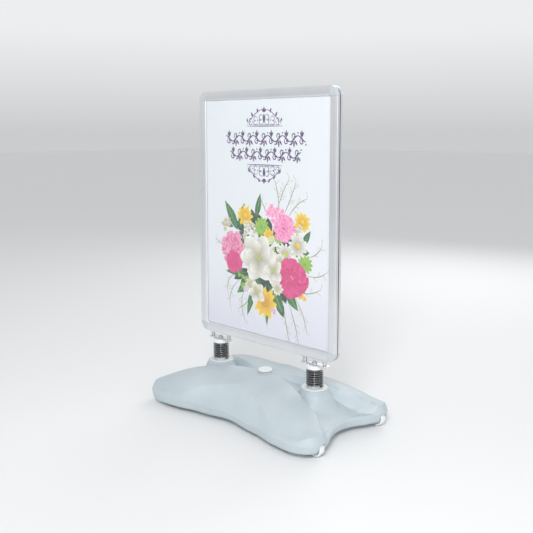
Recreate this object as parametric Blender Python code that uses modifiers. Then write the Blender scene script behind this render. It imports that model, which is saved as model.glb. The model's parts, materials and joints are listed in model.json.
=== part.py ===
"""Spring-mounted pavement poster sign: a double-sided snap frame on two coil springs over a
wheeled, water-ballasted base. X runs along the panel, Y from front to back, Z up; the origin is
on the ground under the middle of the base. Lengths are metres."""

import math

import bmesh
import bpy
from mathutils import Matrix, Vector

# ---- Driving dimensions -------------------------------------------------------------------
GAP = 0.0003  # between pieces that touch
FIT = 0.0004  # radial clearance of a shank or spigot in its hole

POSTER_W = 0.594
POSTER_H = 0.841
POSTER_T = 0.0004
COVER_T = 0.0010
BOARD_T = 0.0072
LIP_COVER = 0.010  # how much of the poster a lid hides on each side
LID_W = 0.032
LID_T = 0.0016
LID_SLOPE = 0.0085  # how much of a lid's width slopes down to the poster
PANEL_T = 0.028
SEAM = 0.0024  # groove round the panel's edge, between its two faces
RAIL_WALL = 0.0020
RAIL_FLANGE_T = 0.0014
RAIL_HOLLOW = (0.0035, 0.0105)  # box in the rail that the corner keys enter
BOARD_EDGE = 0.0123  # in from the panel's edge
KEY_L = 0.014

TANK_BOTTOM = 0.016
TANK_WALL = 0.004
TANK_LOBE_Y = 0.233  # half the depth, at the lobes
TANK_WAIST = 0.043  # how far the front and rear draw in between the lobes
TANK_END = 0.115  # from a spring's axis to the waist at the side
TANK_LOBE = 0.052  # how far the lobes reach past that waist
TANK_RIM_Z = 0.044
TANK_CREST_Z = 0.146
DISH_DEPTH = 0.0055  # round the filler

SPRING_INSET = 0.094  # from the panel's edge to a spring's axis
WIRE_D = 0.0070
COIL_R = 0.0262
SPRING_TURNS = 7
SPRING_PITCH = 0.0078
BOSS_DROP = 0.006  # below the tank's crest
BOSS_TOP_R = 0.046
BOSS_FOOT_R = 0.074
SEAT_T = 0.0040
SPIGOT_H = 0.012
SPIGOT_PLAY = 0.0018
PLUG_H = 0.0125
PLATE_T = 0.0030
PLATE_L = 0.112
PLATE_W = 0.032
CLAMP_X = 0.042  # clamp bolts from a spring's axis
CLAMP_R = 0.0030
CLAMP_PLATE_W = 0.020  # narrow, so that the bottom lids can open past it
CLAMP_SLOT = (0.034, 0.012)  # room over the spring's nut
CLAMP_HEAD_R = 0.0055
CLAMP_HEAD_H = 0.0045
SLEEVE_H = 0.0158
SLEEVE_WALL = 0.0040
BOLT_R = 0.0050
BOLT_HEAD_R = 0.0085
BOLT_HEAD_H = 0.0055
INSERT_R = 0.0090
INSERT_H = 0.022

WHEEL_INSET_X = 0.0255  # from the lobe's outermost points
WHEEL_INSET_Y = 0.070
WHEEL_R = 0.024
WHEEL_W = 0.022
WHEEL_LIFT = 0.002
AXLE_R = 0.0040
AXLE_GRIP = 0.010  # how deep an axle end sits in the tank

FOOT_INSET_X = 0.117
FOOT_INSET_Y = 0.057
FOOT_R = 0.027
FOOT_TREAD_R = 0.0145
STUD_R = 0.0050
STUD_H = 0.0080

NECK_R = 0.019
NECK_STAND = 0.005  # above the dish
SEAL_T = 0.0015
CAP_R = 0.025
CAP_H = 0.0062
CAP_TEETH = 20

# ---- Values that follow from them ---------------------------------------------------------
VIEW_W = POSTER_W - 2 * LIP_COVER
VIEW_H = POSTER_H - 2 * LIP_COVER
PANEL_W = VIEW_W + 2 * LID_W
PANEL_H = VIEW_H + 2 * LID_W
RAIL_FLANGE_Y = BOARD_T / 2 + GAP + RAIL_FLANGE_T
POSTER_Y = RAIL_FLANGE_Y + GAP
COVER_Y = POSTER_Y + POSTER_T + GAP
COVER_FACE_Y = COVER_Y + COVER_T
LID_EDGE_Y = PANEL_T / 2 - 0.0034  # where a lid's outer corner meets the rail's wall
LID_PIVOT_S = 0.0006
LID_PIVOT_Y = LID_EDGE_Y + 0.0003

TANK_WAIST_Y = TANK_LOBE_Y - TANK_WAIST
SPRING_X = PANEL_W / 2 - SPRING_INSET
TANK_END_X = SPRING_X + TANK_END
TANK_LOBE_X = TANK_END_X + TANK_LOBE
BOSS_TOP_Z = TANK_CREST_Z - BOSS_DROP
NECK_TOP_Z = TANK_CREST_Z - DISH_DEPTH + NECK_STAND

SPRING_LOW = BOSS_TOP_Z + SEAT_T + 2 * GAP
SPRING_HIGH = SPRING_LOW + WIRE_D + SPRING_TURNS * SPRING_PITCH
PLUG_TOP = SPRING_HIGH + GAP + PLUG_H
PLATE_LOW = PLUG_TOP + GAP
PANEL_BOTTOM = PLATE_LOW + 2 * PLATE_T + SLEEVE_H + 3 * GAP
PANEL_MID_Z = PANEL_BOTTOM + PANEL_H / 2
INSERT_BOTTOM = BOSS_TOP_Z - INSERT_H

WHEEL_X = TANK_LOBE_X - WHEEL_INSET_X
WHEEL_Y = TANK_LOBE_Y - WHEEL_INSET_Y
WHEEL_Z = WHEEL_R + WHEEL_LIFT
FOOT_X = TANK_LOBE_X - FOOT_INSET_X
FOOT_Y = TANK_LOBE_Y - FOOT_INSET_Y
WELL_R = WHEEL_R + 0.004
WELL_HALF = WHEEL_W / 2 + 0.003

parts = bpy.data.collections.new("poster_sign")
cutters = bpy.data.collections.new("cutters")


# ---- Scene and material helpers -----------------------------------------------------------
def clear_scene():
    for obj in list(bpy.data.objects):
        bpy.data.objects.remove(obj, do_unlink=True)
    bpy.context.scene.collection.children.link(parts)
    bpy.context.scene.collection.children.link(cutters)


def material(name, color, roughness, metallic=0.0):
    made = bpy.data.materials.new(name)
    made.use_nodes = True
    shader = made.node_tree.nodes["Principled BSDF"]
    shader.inputs["Base Color"].default_value = (*color, 1.0)
    shader.inputs["Roughness"].default_value = roughness
    shader.inputs["Metallic"].default_value = metallic
    return made


def add_object(name, mesh, finish, collection=parts):
    obj = bpy.data.objects.new(name, mesh)
    collection.objects.link(obj)
    if finish:
        mesh.materials.append(finish)
    if collection is cutters:
        obj.hide_render = True
        obj.display_type = "WIRE"
    return obj


def mesh_from(name, bm):
    mesh = bpy.data.meshes.new(name)
    bm.to_mesh(mesh)
    bm.free()
    return mesh


def smooth(obj, degrees=35):
    obj.data.shade_smooth()
    obj.data.set_sharp_from_angle(angle=math.radians(degrees))


# ---- Shape helpers ------------------------------------------------------------------------
def box(name, low, high, finish=None, collection=parts):
    bm = bmesh.new()
    size = Vector(high) - Vector(low)
    middle = (Vector(high) + Vector(low)) / 2
    place = Matrix.Translation(middle) @ Matrix.Diagonal((*size, 1.0))
    bmesh.ops.create_cube(bm, size=1.0, matrix=place)
    return add_object(name, mesh_from(name, bm), finish, collection)


def cone(name, base, top_z, r_base, r_top, segments=32, finish=None, collection=cutters):
    """A cylinder or frustum that stands on base, a point, and ends at top_z."""
    bm = bmesh.new()
    height = top_z - base[2]
    place = Matrix.Translation((base[0], base[1], base[2] + height / 2))
    bmesh.ops.create_cone(bm, cap_ends=True, segments=segments, radius1=r_base, radius2=r_top,
                          depth=height, matrix=place)
    return add_object(name, mesh_from(name, bm), finish, collection)


def rod_y(name, x, z, y0, y1, radius, segments=24, finish=None, collection=cutters):
    """A cylinder along Y from y0 to y1."""
    bm = bmesh.new()
    place = Matrix.Translation((x, (y0 + y1) / 2, z)) @ Matrix.Rotation(math.pi / 2, 4, "X")
    bmesh.ops.create_cone(bm, cap_ends=True, segments=segments, radius1=radius, radius2=radius,
                          depth=y1 - y0, matrix=place)
    return add_object(name, mesh_from(name, bm), finish, collection)


def turned(name, profile, segments, finish, place=(0.0, 0.0, 0.0)):
    """A profile of (radius, height) turned about Z, running down its outer side.

    It closes on itself unless it starts and ends on the axis."""
    bm = bmesh.new()
    points = [bm.verts.new((r, 0.0, z)) for r, z in profile]
    pairs = list(zip(points, points[1:]))
    if profile[0][0] > 0:
        pairs.append((points[-1], points[0]))
    for first, second in pairs:
        bm.edges.new((first, second))
    obj = add_object(name, mesh_from(name, bm), finish)
    screw = obj.modifiers.new("Turn", "SCREW")
    screw.steps = segments
    screw.render_steps = segments
    screw.use_merge_vertices = True
    screw.merge_threshold = 0.00005
    screw.use_smooth_shade = True
    obj.location = place
    return obj


def boolean(obj, cutter, operation="DIFFERENCE", solver="EXACT"):
    made = obj.modifiers.new(operation.title(), "BOOLEAN")
    made.operation = operation
    made.object = cutter
    made.solver = solver
    return made


def extruded(name, outlines, along, length, finish):
    """A flat outline (with holes after the first) in two axes, swept by length along the third.

    along is a matrix that takes the outline's x and y, and z along the sweep, to the world."""
    curve = bpy.data.curves.new(name, "CURVE")
    curve.dimensions = "2D"
    curve.fill_mode = "BOTH"
    curve.extrude = length / 2
    for outline in outlines:
        spline = curve.splines.new("POLY")
        spline.points.add(len(outline) - 1)
        for point, (a, b) in zip(spline.points, outline):
            point.co = (a, b, 0.0, 1.0)
        spline.use_cyclic_u = True
    draft = bpy.data.objects.new(name + "_draft", curve)
    parts.objects.link(draft)
    bpy.context.view_layer.update()
    graph = bpy.context.evaluated_depsgraph_get()
    mesh = bpy.data.meshes.new_from_object(draft.evaluated_get(graph))
    bpy.data.objects.remove(draft)
    bm = bmesh.new()
    bm.from_mesh(mesh)
    bmesh.ops.remove_doubles(bm, verts=bm.verts, dist=0.00002)
    bmesh.ops.transform(bm, matrix=along, verts=bm.verts)
    bmesh.ops.recalc_face_normals(bm, faces=bm.faces)
    bm.to_mesh(mesh)
    bm.free()
    mesh.materials.clear()
    return add_object(name, mesh, finish)


def stadium(length, width, steps=6):
    """Outline of a plate with round ends, centred on the origin."""
    middle, radius = (length - width) / 2, width / 2
    points = []
    for side in (1, -1):
        for step in range(steps + 1):
            angle = math.pi * (step / steps - 0.5)
            across = middle + radius * math.cos(angle)
            points.append((side * across, side * radius * math.sin(angle)))
    return points


def circle(x, y, radius, steps=12):
    turn = [2 * math.pi * step / steps for step in range(steps)]
    return [(x + radius * math.cos(a), y + radius * math.sin(a)) for a in turn]


# ---- Base tank ----------------------------------------------------------------------------
def tank_outline_points():
    """One quarter of the plan, from the side waist round the lobe to the front waist."""
    lobe_x, lobe_y = TANK_LOBE_X, TANK_LOBE_Y
    return [
        (TANK_END_X, 0.0),
        (TANK_END_X + 0.23 * (lobe_x - TANK_END_X), 0.26 * lobe_y),
        (TANK_END_X + 0.75 * (lobe_x - TANK_END_X), 0.51 * lobe_y),
        (lobe_x, 0.73 * lobe_y),
        (lobe_x - 0.014, 0.895 * lobe_y),
        (0.85 * lobe_x, lobe_y),
        (0.67 * lobe_x, 0.995 * lobe_y),
        (0.38 * lobe_x, TANK_WAIST_Y + 0.47 * (lobe_y - TANK_WAIST_Y)),
        (0.0, TANK_WAIST_Y),
    ]


def tank_reach(angle):
    """Distance from the centre to the tank's widest edge, in the direction of angle."""
    a = abs(math.atan2(abs(math.sin(angle)), abs(math.cos(angle))))
    points = tank_outline_points()
    mirrored = [(points[1][0], -points[1][1])] + points + [(-points[-2][0], points[-2][1])]
    polar = [(math.atan2(y, x), math.hypot(x, y)) for x, y in mirrored]
    for i in range(1, len(polar) - 2):
        (a0, r0), (a1, r1), (a2, r2), (a3, r3) = polar[i - 1:i + 3]
        if a <= a2 + 1e-9:
            t = (a - a1) / (a2 - a1)
            m1 = (r2 - r0) / (a2 - a0) * (a2 - a1)
            m2 = (r3 - r1) / (a3 - a1) * (a2 - a1)
            return ((2 * t**3 - 3 * t**2 + 1) * r1 + (t**3 - 2 * t**2 + t) * m1
                    + (3 * t**2 - 2 * t**3) * r2 + (t**3 - t**2) * m2)
    return polar[-2][1]


def step_between(low, high, value):
    t = min(max((value - low) / (high - low), 0.0), 1.0)
    return t * t * (3 - 2 * t)


def inner_edge(u):
    """Where an arm's top meets its wall to the valley, measured from the X axis."""
    return 0.38 * (math.hypot(u, 0.030) - 0.045) + 3.0 * max(0.0, u - 0.300) ** 2


def arm_height(u, v):
    """Top of an arm: almost level from its inner edge, then rolling over towards the side."""
    along = max(0.0, u - 0.080) / (TANK_LOBE_X - 0.092)
    beyond = max(0.0, v - inner_edge(u))
    dish = DISH_DEPTH * math.exp(-(u * u + v * v) / 0.0025)
    roll = 5.0 + 118.0 * u * u / (u + 0.050)
    height = TANK_CREST_Z - dish - 0.074 * along**2.2 - roll * beyond**3
    low = TANK_RIM_Z + 0.010
    return (height + low + math.hypot(height - low, 0.012)) / 2


def valley_height(u):
    """Floor of the valley between the front and rear arms."""
    start = TANK_CREST_Z - DISH_DEPTH
    return start - (start - TANK_RIM_Z - 0.006) * min(1.0, u / TANK_END_X) ** 1.7


def tank_height(x, y):
    """Height of the tank's top at a point, before it rounds over to the rim."""
    u, v = abs(x), abs(y)
    edge = inner_edge(u)
    wall = step_between(edge - 0.016, edge + 0.004, v)
    low = min(valley_height(u), arm_height(u, v))
    return low + (arm_height(u, v) - low) * wall


def steepness(angle):
    """0 along the X axis, a quarter turn along Y, for a direction in any quarter."""
    return math.atan2(abs(math.sin(angle)), abs(math.cos(angle)))


def crease_margin(angle):
    """How far inside the widest edge the top starts to fall to the rim, by direction."""
    return 0.014 + 0.040 * step_between(0.48, 0.95, steepness(angle))


def face_profile(angle, t):
    """Share of the drop from the crease still left at t of the way to the rim."""
    lobe = 1.0 - t**2.2
    face = (1.0 - t) ** 1.45
    soft = (1.0 - t**1.25) ** 1.35
    a = steepness(angle)
    front = face + (soft - face) * step_between(0.95, 1.35, a)
    return lobe + (front - lobe) * step_between(0.50, 0.85, a)


def tank_ring(share, inset, drop, count):
    """Points of one ring of the top: up to 1 inside the crease, from 1 to 2 outside it."""
    ring = []
    for k in range(count):
        angle = 2 * math.pi * k / count
        margin = crease_margin(angle)
        crease = tank_reach(angle) - inset - margin
        r = crease * min(share, 1.0) + margin * max(share - 1.0, 0.0)
        z = tank_height(min(r, crease) * math.cos(angle), min(r, crease) * math.sin(angle))
        if share > 1.0:
            z = TANK_RIM_Z + (z - TANK_RIM_Z) * face_profile(angle, share - 1.0)
        ring.append((r * math.cos(angle), r * math.sin(angle), z - drop))
    return ring


def tank_body(name, inset, drop, floor, shares, count):
    """A closed lump: top rings, rounded side and a flat bottom."""
    bm = bmesh.new()
    peak = bm.verts.new((0.0, 0.0, tank_height(0.0, 0.0) - drop))
    rings = [tank_ring(share, inset, drop, count) for share in shares]
    side = [(0.0030, 0.50), (0.0090, 0.12), (0.0150, 0.0)]
    for tuck, height in side:
        ring = []
        for x, y, z in rings[len(shares) - 1]:
            away = 1.0 - tuck / math.hypot(x, y)
            ring.append((x * away, y * away, floor + (z - floor) * height))
        rings.append(ring)
    rows = [[bm.verts.new(point) for point in ring] for ring in rings]
    for k in range(count):
        bm.faces.new((peak, rows[0][k], rows[0][(k + 1) % count]))
    for upper, lower in zip(rows, rows[1:]):
        for k in range(count):
            after = (k + 1) % count
            bm.faces.new((upper[k], lower[k], lower[after], upper[after]))
    bm.faces.new(list(reversed(rows[-1])))
    bmesh.ops.triangulate(bm, faces=bm.faces)
    bmesh.ops.recalc_face_normals(bm, faces=bm.faces)
    return mesh_from(name, bm)


def make_tank(plastic):
    top_shares = (0.17, 0.34, 0.50, 0.62, 0.73, 0.82, 0.90, 1.0, 1.3, 1.6, 1.85, 2.0)
    tank = add_object("base_tank", tank_body("base_tank", 0.0, 0.0, TANK_BOTTOM, top_shares, 72),
                      plastic)
    for side in (-1, 1):
        low = valley_height(SPRING_X) - 0.012
        boss = cone(f"boss_{side}", (side * SPRING_X, 0.0, low), BOSS_TOP_Z,
                    BOSS_FOOT_R, BOSS_TOP_R, 32)
        boolean(tank, boss, "UNION")
    neck = cone("neck", (0.0, 0.0, TANK_CREST_Z - 0.030), NECK_TOP_Z,
                NECK_R + TANK_WALL, NECK_R + TANK_WALL)
    boolean(tank, neck, "UNION")
    boolean(tank, tank_hollow())
    boolean(tank, cone("neck_bore", (0.0, 0.0, TANK_CREST_Z - 0.045), NECK_TOP_Z + 0.010,
                       NECK_R, NECK_R))
    for side in (-1, 1):
        cut_wheel_well(tank, side)
        pocket = cone(f"insert_pocket_{side}", (side * SPRING_X, 0.0, INSERT_BOTTOM - GAP),
                      BOSS_TOP_Z + 0.010, INSERT_R + FIT, INSERT_R + FIT)
        boolean(tank, pocket)
    for x, y in foot_places():
        socket = cone(f"foot_socket_{x:.2f}_{y:.2f}", (x, y, TANK_BOTTOM - 0.010),
                      TANK_BOTTOM + STUD_H + GAP, STUD_R + FIT, STUD_R + FIT, 16)
        boolean(tank, socket)
    smooth(tank)


def tank_hollow():
    """The space for water, kept clear of the wheel wells, foot sockets and spring inserts."""
    shares = (0.3, 0.55, 0.8, 1.0, 1.5, 2.0)
    hollow = add_object("hollow", tank_body("hollow", TANK_WALL, TANK_WALL,
                                            TANK_BOTTOM + TANK_WALL, shares, 40), None, cutters)
    for side in (-1, 1):
        room = cone(f"boss_room_{side}", (side * SPRING_X, 0.0, valley_height(SPRING_X) - 0.020),
                    INSERT_BOTTOM - 1.4 * TANK_WALL, BOSS_FOOT_R - 0.012, BOSS_TOP_R, 20)
        boolean(hollow, room, "UNION")
        across = WELL_HALF + AXLE_GRIP + TANK_WALL
        guard = box(f"well_guard_{side}",
                    (WHEEL_X - WELL_R - TANK_WALL, side * WHEEL_Y - across, 0.0),
                    (TANK_LOBE_X + 0.020, side * WHEEL_Y + across, WHEEL_Z + WELL_R + TANK_WALL),
                    None, cutters)
        boolean(hollow, guard)
    for x, y in foot_places():
        pillar = cone(f"foot_pillar_{x:.2f}_{y:.2f}", (x, y, 0.0),
                      TANK_BOTTOM + STUD_H + TANK_WALL, STUD_R + TANK_WALL, STUD_R + TANK_WALL, 16)
        boolean(hollow, pillar)
    return hollow


def cut_wheel_well(tank, side):
    y = side * WHEEL_Y
    arch = rod_y(f"well_arch_{side}", WHEEL_X, WHEEL_Z, y - WELL_HALF, y + WELL_HALF, WELL_R, 32)
    boolean(tank, arch)
    mouth = box(f"well_mouth_{side}", (WHEEL_X - WELL_R * 0.999, y - WELL_HALF * 0.999, -0.010),
                (TANK_LOBE_X + 0.020, y + WELL_HALF * 0.999, WHEEL_Z), None, cutters)
    boolean(tank, mouth)
    reach = WELL_HALF + AXLE_GRIP
    boolean(tank, rod_y(f"axle_hole_{side}", WHEEL_X, WHEEL_Z, y - reach, y + reach,
                        AXLE_R + FIT, 16))


def foot_places():
    return [(sx * FOOT_X, sy * FOOT_Y) for sx in (-1, 1) for sy in (-1, 1)]


def side_name(x):
    return "left" if x < 0 else "right"


def face_name(y):
    return "front" if y < 0 else "rear"


# ---- Feet, wheels and filler cap ----------------------------------------------------------
def make_feet(rubber):
    top = TANK_BOTTOM - GAP
    profile = [(0.0, TANK_BOTTOM + STUD_H - GAP), (STUD_R, TANK_BOTTOM + STUD_H - GAP),
               (STUD_R, top), (FOOT_R, top), (FOOT_R, top - 0.004), (FOOT_TREAD_R + 0.0015, 0.0015),
               (FOOT_TREAD_R, 0.0), (0.0, 0.0)]
    for x, y in foot_places():
        turned(f"{face_name(y)}_{side_name(x)}_foot", profile, 16, rubber, (x, y, 0.0))


def make_wheels(white, steel):
    half = WHEEL_W / 2
    web = 0.0030
    hub = 0.0085
    profile = [(WHEEL_R - 0.0015, half), (WHEEL_R, half - 0.002), (WHEEL_R, 0.002 - half),
               (WHEEL_R - 0.0015, -half), (WHEEL_R - 0.005, -half), (WHEEL_R - 0.006, -web),
               (hub + 0.0005, -web), (hub, -half), (AXLE_R + FIT, -half), (AXLE_R + FIT, half),
               (hub, half), (hub + 0.0005, web), (WHEEL_R - 0.006, web), (WHEEL_R - 0.005, half)]
    for side in (-1, 1):
        y = side * WHEEL_Y
        wheel = turned(f"{face_name(y)}_wheel", profile, 24, white, (WHEEL_X, y, WHEEL_Z))
        wheel.rotation_euler = (math.pi / 2, 0.0, 0.0)
        reach = WELL_HALF + AXLE_GRIP - GAP
        rod_y(f"{face_name(y)}_axle", WHEEL_X, WHEEL_Z, y - reach, y + reach, AXLE_R, 16,
              steel, parts)


def make_filler_cap(white, rubber):
    """A knurled cap on a hollow plug, which bears on a flat ring seal on the neck."""
    plug = NECK_R - FIT
    seal_top = NECK_TOP_Z + GAP + SEAL_T
    turned("cap_seal", [(NECK_R + 0.0035, seal_top), (NECK_R + 0.0035, NECK_TOP_Z + GAP),
                        (NECK_R + 0.0004, NECK_TOP_Z + GAP), (NECK_R + 0.0004, seal_top)],
           24, rubber)
    low, top = seal_top + GAP, seal_top + GAP + CAP_H
    cap = turned("filler_cap", [(0.0, top), (CAP_R - 0.0025, top), (CAP_R - 0.0008, top - 0.0012),
                                (CAP_R, top - 0.003), (CAP_R, low), (plug, low),
                                (plug, NECK_TOP_Z - 0.012), (plug - 0.004, NECK_TOP_Z - 0.012),
                                (plug - 0.004, low + 0.001), (0.0, low + 0.001)], 40, white)
    for k in range(CAP_TEETH):
        angle = 2 * math.pi * k / CAP_TEETH
        reach = CAP_R + 0.0009
        groove = cone(f"cap_groove_{k}", (reach * math.cos(angle), reach * math.sin(angle),
                                          low - 0.003), top + 0.003, 0.0019, 0.0019, 8)
        boolean(cap, groove)


# ---- Springs and their fixings ------------------------------------------------------------
def make_spring(name, x, steel):
    per_turn = 10
    count = SPRING_TURNS * per_turn + 1
    curve = bpy.data.curves.new(name, "CURVE")
    curve.dimensions = "3D"
    curve.bevel_depth = WIRE_D / 2
    curve.bevel_resolution = 2
    curve.use_fill_caps = True
    spline = curve.splines.new("POLY")
    spline.points.add(count - 1)
    for k, point in enumerate(spline.points):
        angle = 2 * math.pi * k / per_turn
        height = SPRING_LOW + WIRE_D / 2 + SPRING_PITCH * k / per_turn
        point.co = (COIL_R * math.cos(angle), COIL_R * math.sin(angle), height, 1.0)
    spring = bpy.data.objects.new(name, curve)
    spring.location.x = x
    curve.materials.append(steel)
    parts.objects.link(spring)


def make_spring_fixings(finishes):
    spigot = COIL_R - WIRE_D / 2 - SPIGOT_PLAY
    hole = BOLT_R + FIT
    nut_hole = hole / math.cos(math.pi / 6)  # six flats clear the shank
    seat_top = BOSS_TOP_Z + GAP + SEAT_T
    spigot_top = seat_top + SPIGOT_H
    spigot_low = SPRING_HIGH + GAP - SPIGOT_H
    flange = COIL_R + WIRE_D / 2 - 0.001
    collar = BOSS_TOP_R - 0.003
    for side in (-1, 1):
        x, name = side * SPRING_X, side_name(side)
        place = (x, 0.0, 0.0)
        turned(f"{name}_spring_seat", [
            (spigot, spigot_top), (spigot, seat_top), (collar - 0.001, seat_top),
            (collar, seat_top - 0.001), (collar, BOSS_TOP_Z + GAP), (hole, BOSS_TOP_Z + GAP),
            (hole, spigot_top)], 28, finishes["collar"], place)
        turned(f"{name}_spring_insert", [
            (INSERT_R, BOSS_TOP_Z - GAP), (INSERT_R, INSERT_BOTTOM), (hole, INSERT_BOTTOM),
            (hole, BOSS_TOP_Z - GAP)], 16, finishes["brass"], place)
        head = spigot_top + GAP
        turned(f"{name}_lower_bolt", [
            (0.0, head + BOLT_HEAD_H), (BOLT_HEAD_R, head + BOLT_HEAD_H), (BOLT_HEAD_R, head), (BOLT_R, head),
            (BOLT_R, INSERT_BOTTOM + 0.003), (0.0, INSERT_BOTTOM + 0.003)],
            6, finishes["steel"], place).modifiers["Turn"].use_smooth_shade = False
        make_spring(f"{name}_spring", x, finishes["spring"])
        turned(f"{name}_spring_plug", [
            (hole, PLUG_TOP), (flange, PLUG_TOP), (flange, SPRING_HIGH + GAP),
            (spigot, SPRING_HIGH + GAP), (spigot, spigot_low), (hole, spigot_low)],
            24, finishes["white"], place)
        head = spigot_low - GAP
        nut_low = PLATE_LOW + PLATE_T + GAP
        turned(f"{name}_upper_bolt", [
            (0.0, nut_low + 0.009), (BOLT_R, nut_low + 0.009), (BOLT_R, head), (BOLT_HEAD_R, head),
            (BOLT_HEAD_R, head - BOLT_HEAD_H), (0.0, head - BOLT_HEAD_H)], 12, finishes["steel"], place)
        turned(f"{name}_spring_nut", [
            (BOLT_HEAD_R, nut_low + BOLT_HEAD_H), (BOLT_HEAD_R, nut_low), (nut_hole, nut_low),
            (nut_hole, nut_low + BOLT_HEAD_H)], 6, finishes["steel"], place)


def make_brackets(finishes):
    """Two plates for each spring, held apart by sleeves and bolted up into the bottom rail."""
    shank, hole = CLAMP_R, CLAMP_R + FIT
    upper_low = PANEL_BOTTOM - GAP - PLATE_T
    holes = [circle(-CLAMP_X, 0.0, hole), circle(CLAMP_X, 0.0, hole)]
    for side in (-1, 1):
        x, name = side * SPRING_X, side_name(side)
        lower = Matrix.Translation((x, 0.0, PLATE_LOW + PLATE_T / 2))
        extruded(f"{name}_lower_plate", [stadium(PLATE_L, PLATE_W), circle(0, 0, BOLT_R + FIT)]
                 + holes, lower, PLATE_T, finishes["plate"])
        upper = Matrix.Translation((x, 0.0, upper_low + PLATE_T / 2))
        extruded(f"{name}_upper_plate", [stadium(PLATE_L, CLAMP_PLATE_W), stadium(*CLAMP_SLOT)]
                 + holes, upper, PLATE_T, finishes["plate"])
        for end in (-1, 1):
            place = (x + end * CLAMP_X, 0.0, 0.0)
            label = f"{name}_bracket_{'outer' if end == side else 'inner'}"
            low, high = PLATE_LOW + PLATE_T + GAP, upper_low - GAP
            sleeve_r = CLAMP_R + SLEEVE_WALL
            turned(f"{label}_sleeve", [(sleeve_r, high), (sleeve_r, low), (hole, low),
                                       (hole, high)], 12, finishes["steel"], place)
            end_z = PANEL_BOTTOM + RAIL_HOLLOW[1] - 0.001
            head = PLATE_LOW - GAP
            head_low = head - CLAMP_HEAD_H
            turned(f"{label}_bolt", [
                (0.0, end_z), (shank, end_z), (shank, head), (CLAMP_HEAD_R, head),
                (CLAMP_HEAD_R, head_low + 0.001), (CLAMP_HEAD_R - 0.001, head_low),
                (0.0, head_low)], 12, finishes["steel"], place)


# ---- Poster panel -------------------------------------------------------------------------
def rail_section():
    """Core rail: (distance in from the panel's edge, depth from its mid-plane)."""
    wall, flange, lip = RAIL_WALL, RAIL_FLANGE_Y, LID_EDGE_Y - GAP
    groove = BOARD_T / 2 + GAP
    inner = LID_W - 0.002
    seam = SEAM / 2
    outline = [(0, -lip), (wall, -lip), (wall, -flange), (inner, -flange), (inner, -groove),
               (BOARD_EDGE - GAP, -groove), (BOARD_EDGE - GAP, groove), (inner, groove),
               (inner, flange), (wall, flange), (wall, lip), (0, lip), (0, seam),
               (0.6 * wall, seam), (0.6 * wall, -seam), (0, -seam)]
    first, last = RAIL_HOLLOW
    hollow = [(first, -groove), (last, -groove), (last, groove), (first, groove)]
    return [outline, hollow]


def lid_section(face):
    """Snap lid: a crowned cover with a rounded outer corner and a lip on the clear cover."""
    front, tip = PANEL_T / 2, COVER_FACE_Y + GAP
    inner = front - LID_T
    slope = LID_W - LID_SLOPE
    outline = [(0.0002, LID_EDGE_Y), (0.0002, front - 0.0018), (0.0009, front - 0.0006),
               (0.0024, front), (slope, front), (slope + 0.0005, front - 0.0005),
               (slope + 0.0045, front - 0.0011), (LID_W - 0.0010, front - 0.0036),
               (LID_W, tip + 0.0010), (LID_W, tip), (LID_W - LID_T, tip),
               (LID_W - 0.0024, front - 0.0044), (slope + 0.0037, inner - 0.0010),
               (slope - 0.0005, inner - 0.0004), (0.0030, inner), (0.0018, inner - 0.0008),
               (0.0018, LID_EDGE_Y)]
    return [[(s, face * y) for s, y in outline]]


def edge_frame(edge):
    """World matrix for a section on one edge: x in from the edge, y depth, z along the edge."""
    half_w, half_h = PANEL_W / 2, PANEL_H / 2
    axes = {
        "left": ((1, 0, 0), (-half_w, 0)), "right": ((-1, 0, 0), (half_w, 0)),
        "bottom": ((0, 0, 1), (0, -half_h)), "top": ((0, 0, -1), (0, half_h)),
    }
    inward, (x, z) = axes[edge]
    inward, depth = Vector(inward), Vector((0, 1, 0))
    along = inward.cross(depth)
    turn = Matrix((inward, depth, along)).transposed().to_4x4()
    return Matrix.Translation((x, 0.0, PANEL_MID_Z + z)) @ turn


def edge_length(edge):
    """Between the corner pieces, with a gap at each end."""
    return (VIEW_W if edge in ("top", "bottom") else VIEW_H) - 2 * GAP


def make_rails_and_lids(aluminium):
    for edge in ("left", "right", "bottom", "top"):
        frame, length = edge_frame(edge), edge_length(edge)
        rail = extruded(f"{edge}_rail", rail_section(), frame, length, aluminium)
        if edge == "bottom":
            for x in (-SPRING_X - CLAMP_X, -SPRING_X + CLAMP_X, SPRING_X - CLAMP_X,
                      SPRING_X + CLAMP_X):
                drill = cone(f"rail_hole_{x:.3f}", (x, 0.0, PANEL_BOTTOM - 0.005),
                             PANEL_BOTTOM + RAIL_HOLLOW[0] + 0.002, CLAMP_R + FIT,
                             CLAMP_R + FIT, 16)
                boolean(rail, drill, solver="MANIFOLD")
        for face in (-1, 1):
            name = f"{face_name(face)}_{edge}_lid"
            make_lid(name, lid_section(face), frame, length, face, aluminium)


def make_lid(name, section, frame, length, face, aluminium):
    """A lid whose origin is on its hinge line, at the panel's outer corner."""
    hinge = Matrix.Translation((LID_PIVOT_S, face * LID_PIVOT_Y, 0.0))
    place = frame @ hinge
    lid = extruded(name, section, hinge.inverted(), length, aluminium)
    lid.matrix_world = place


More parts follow.
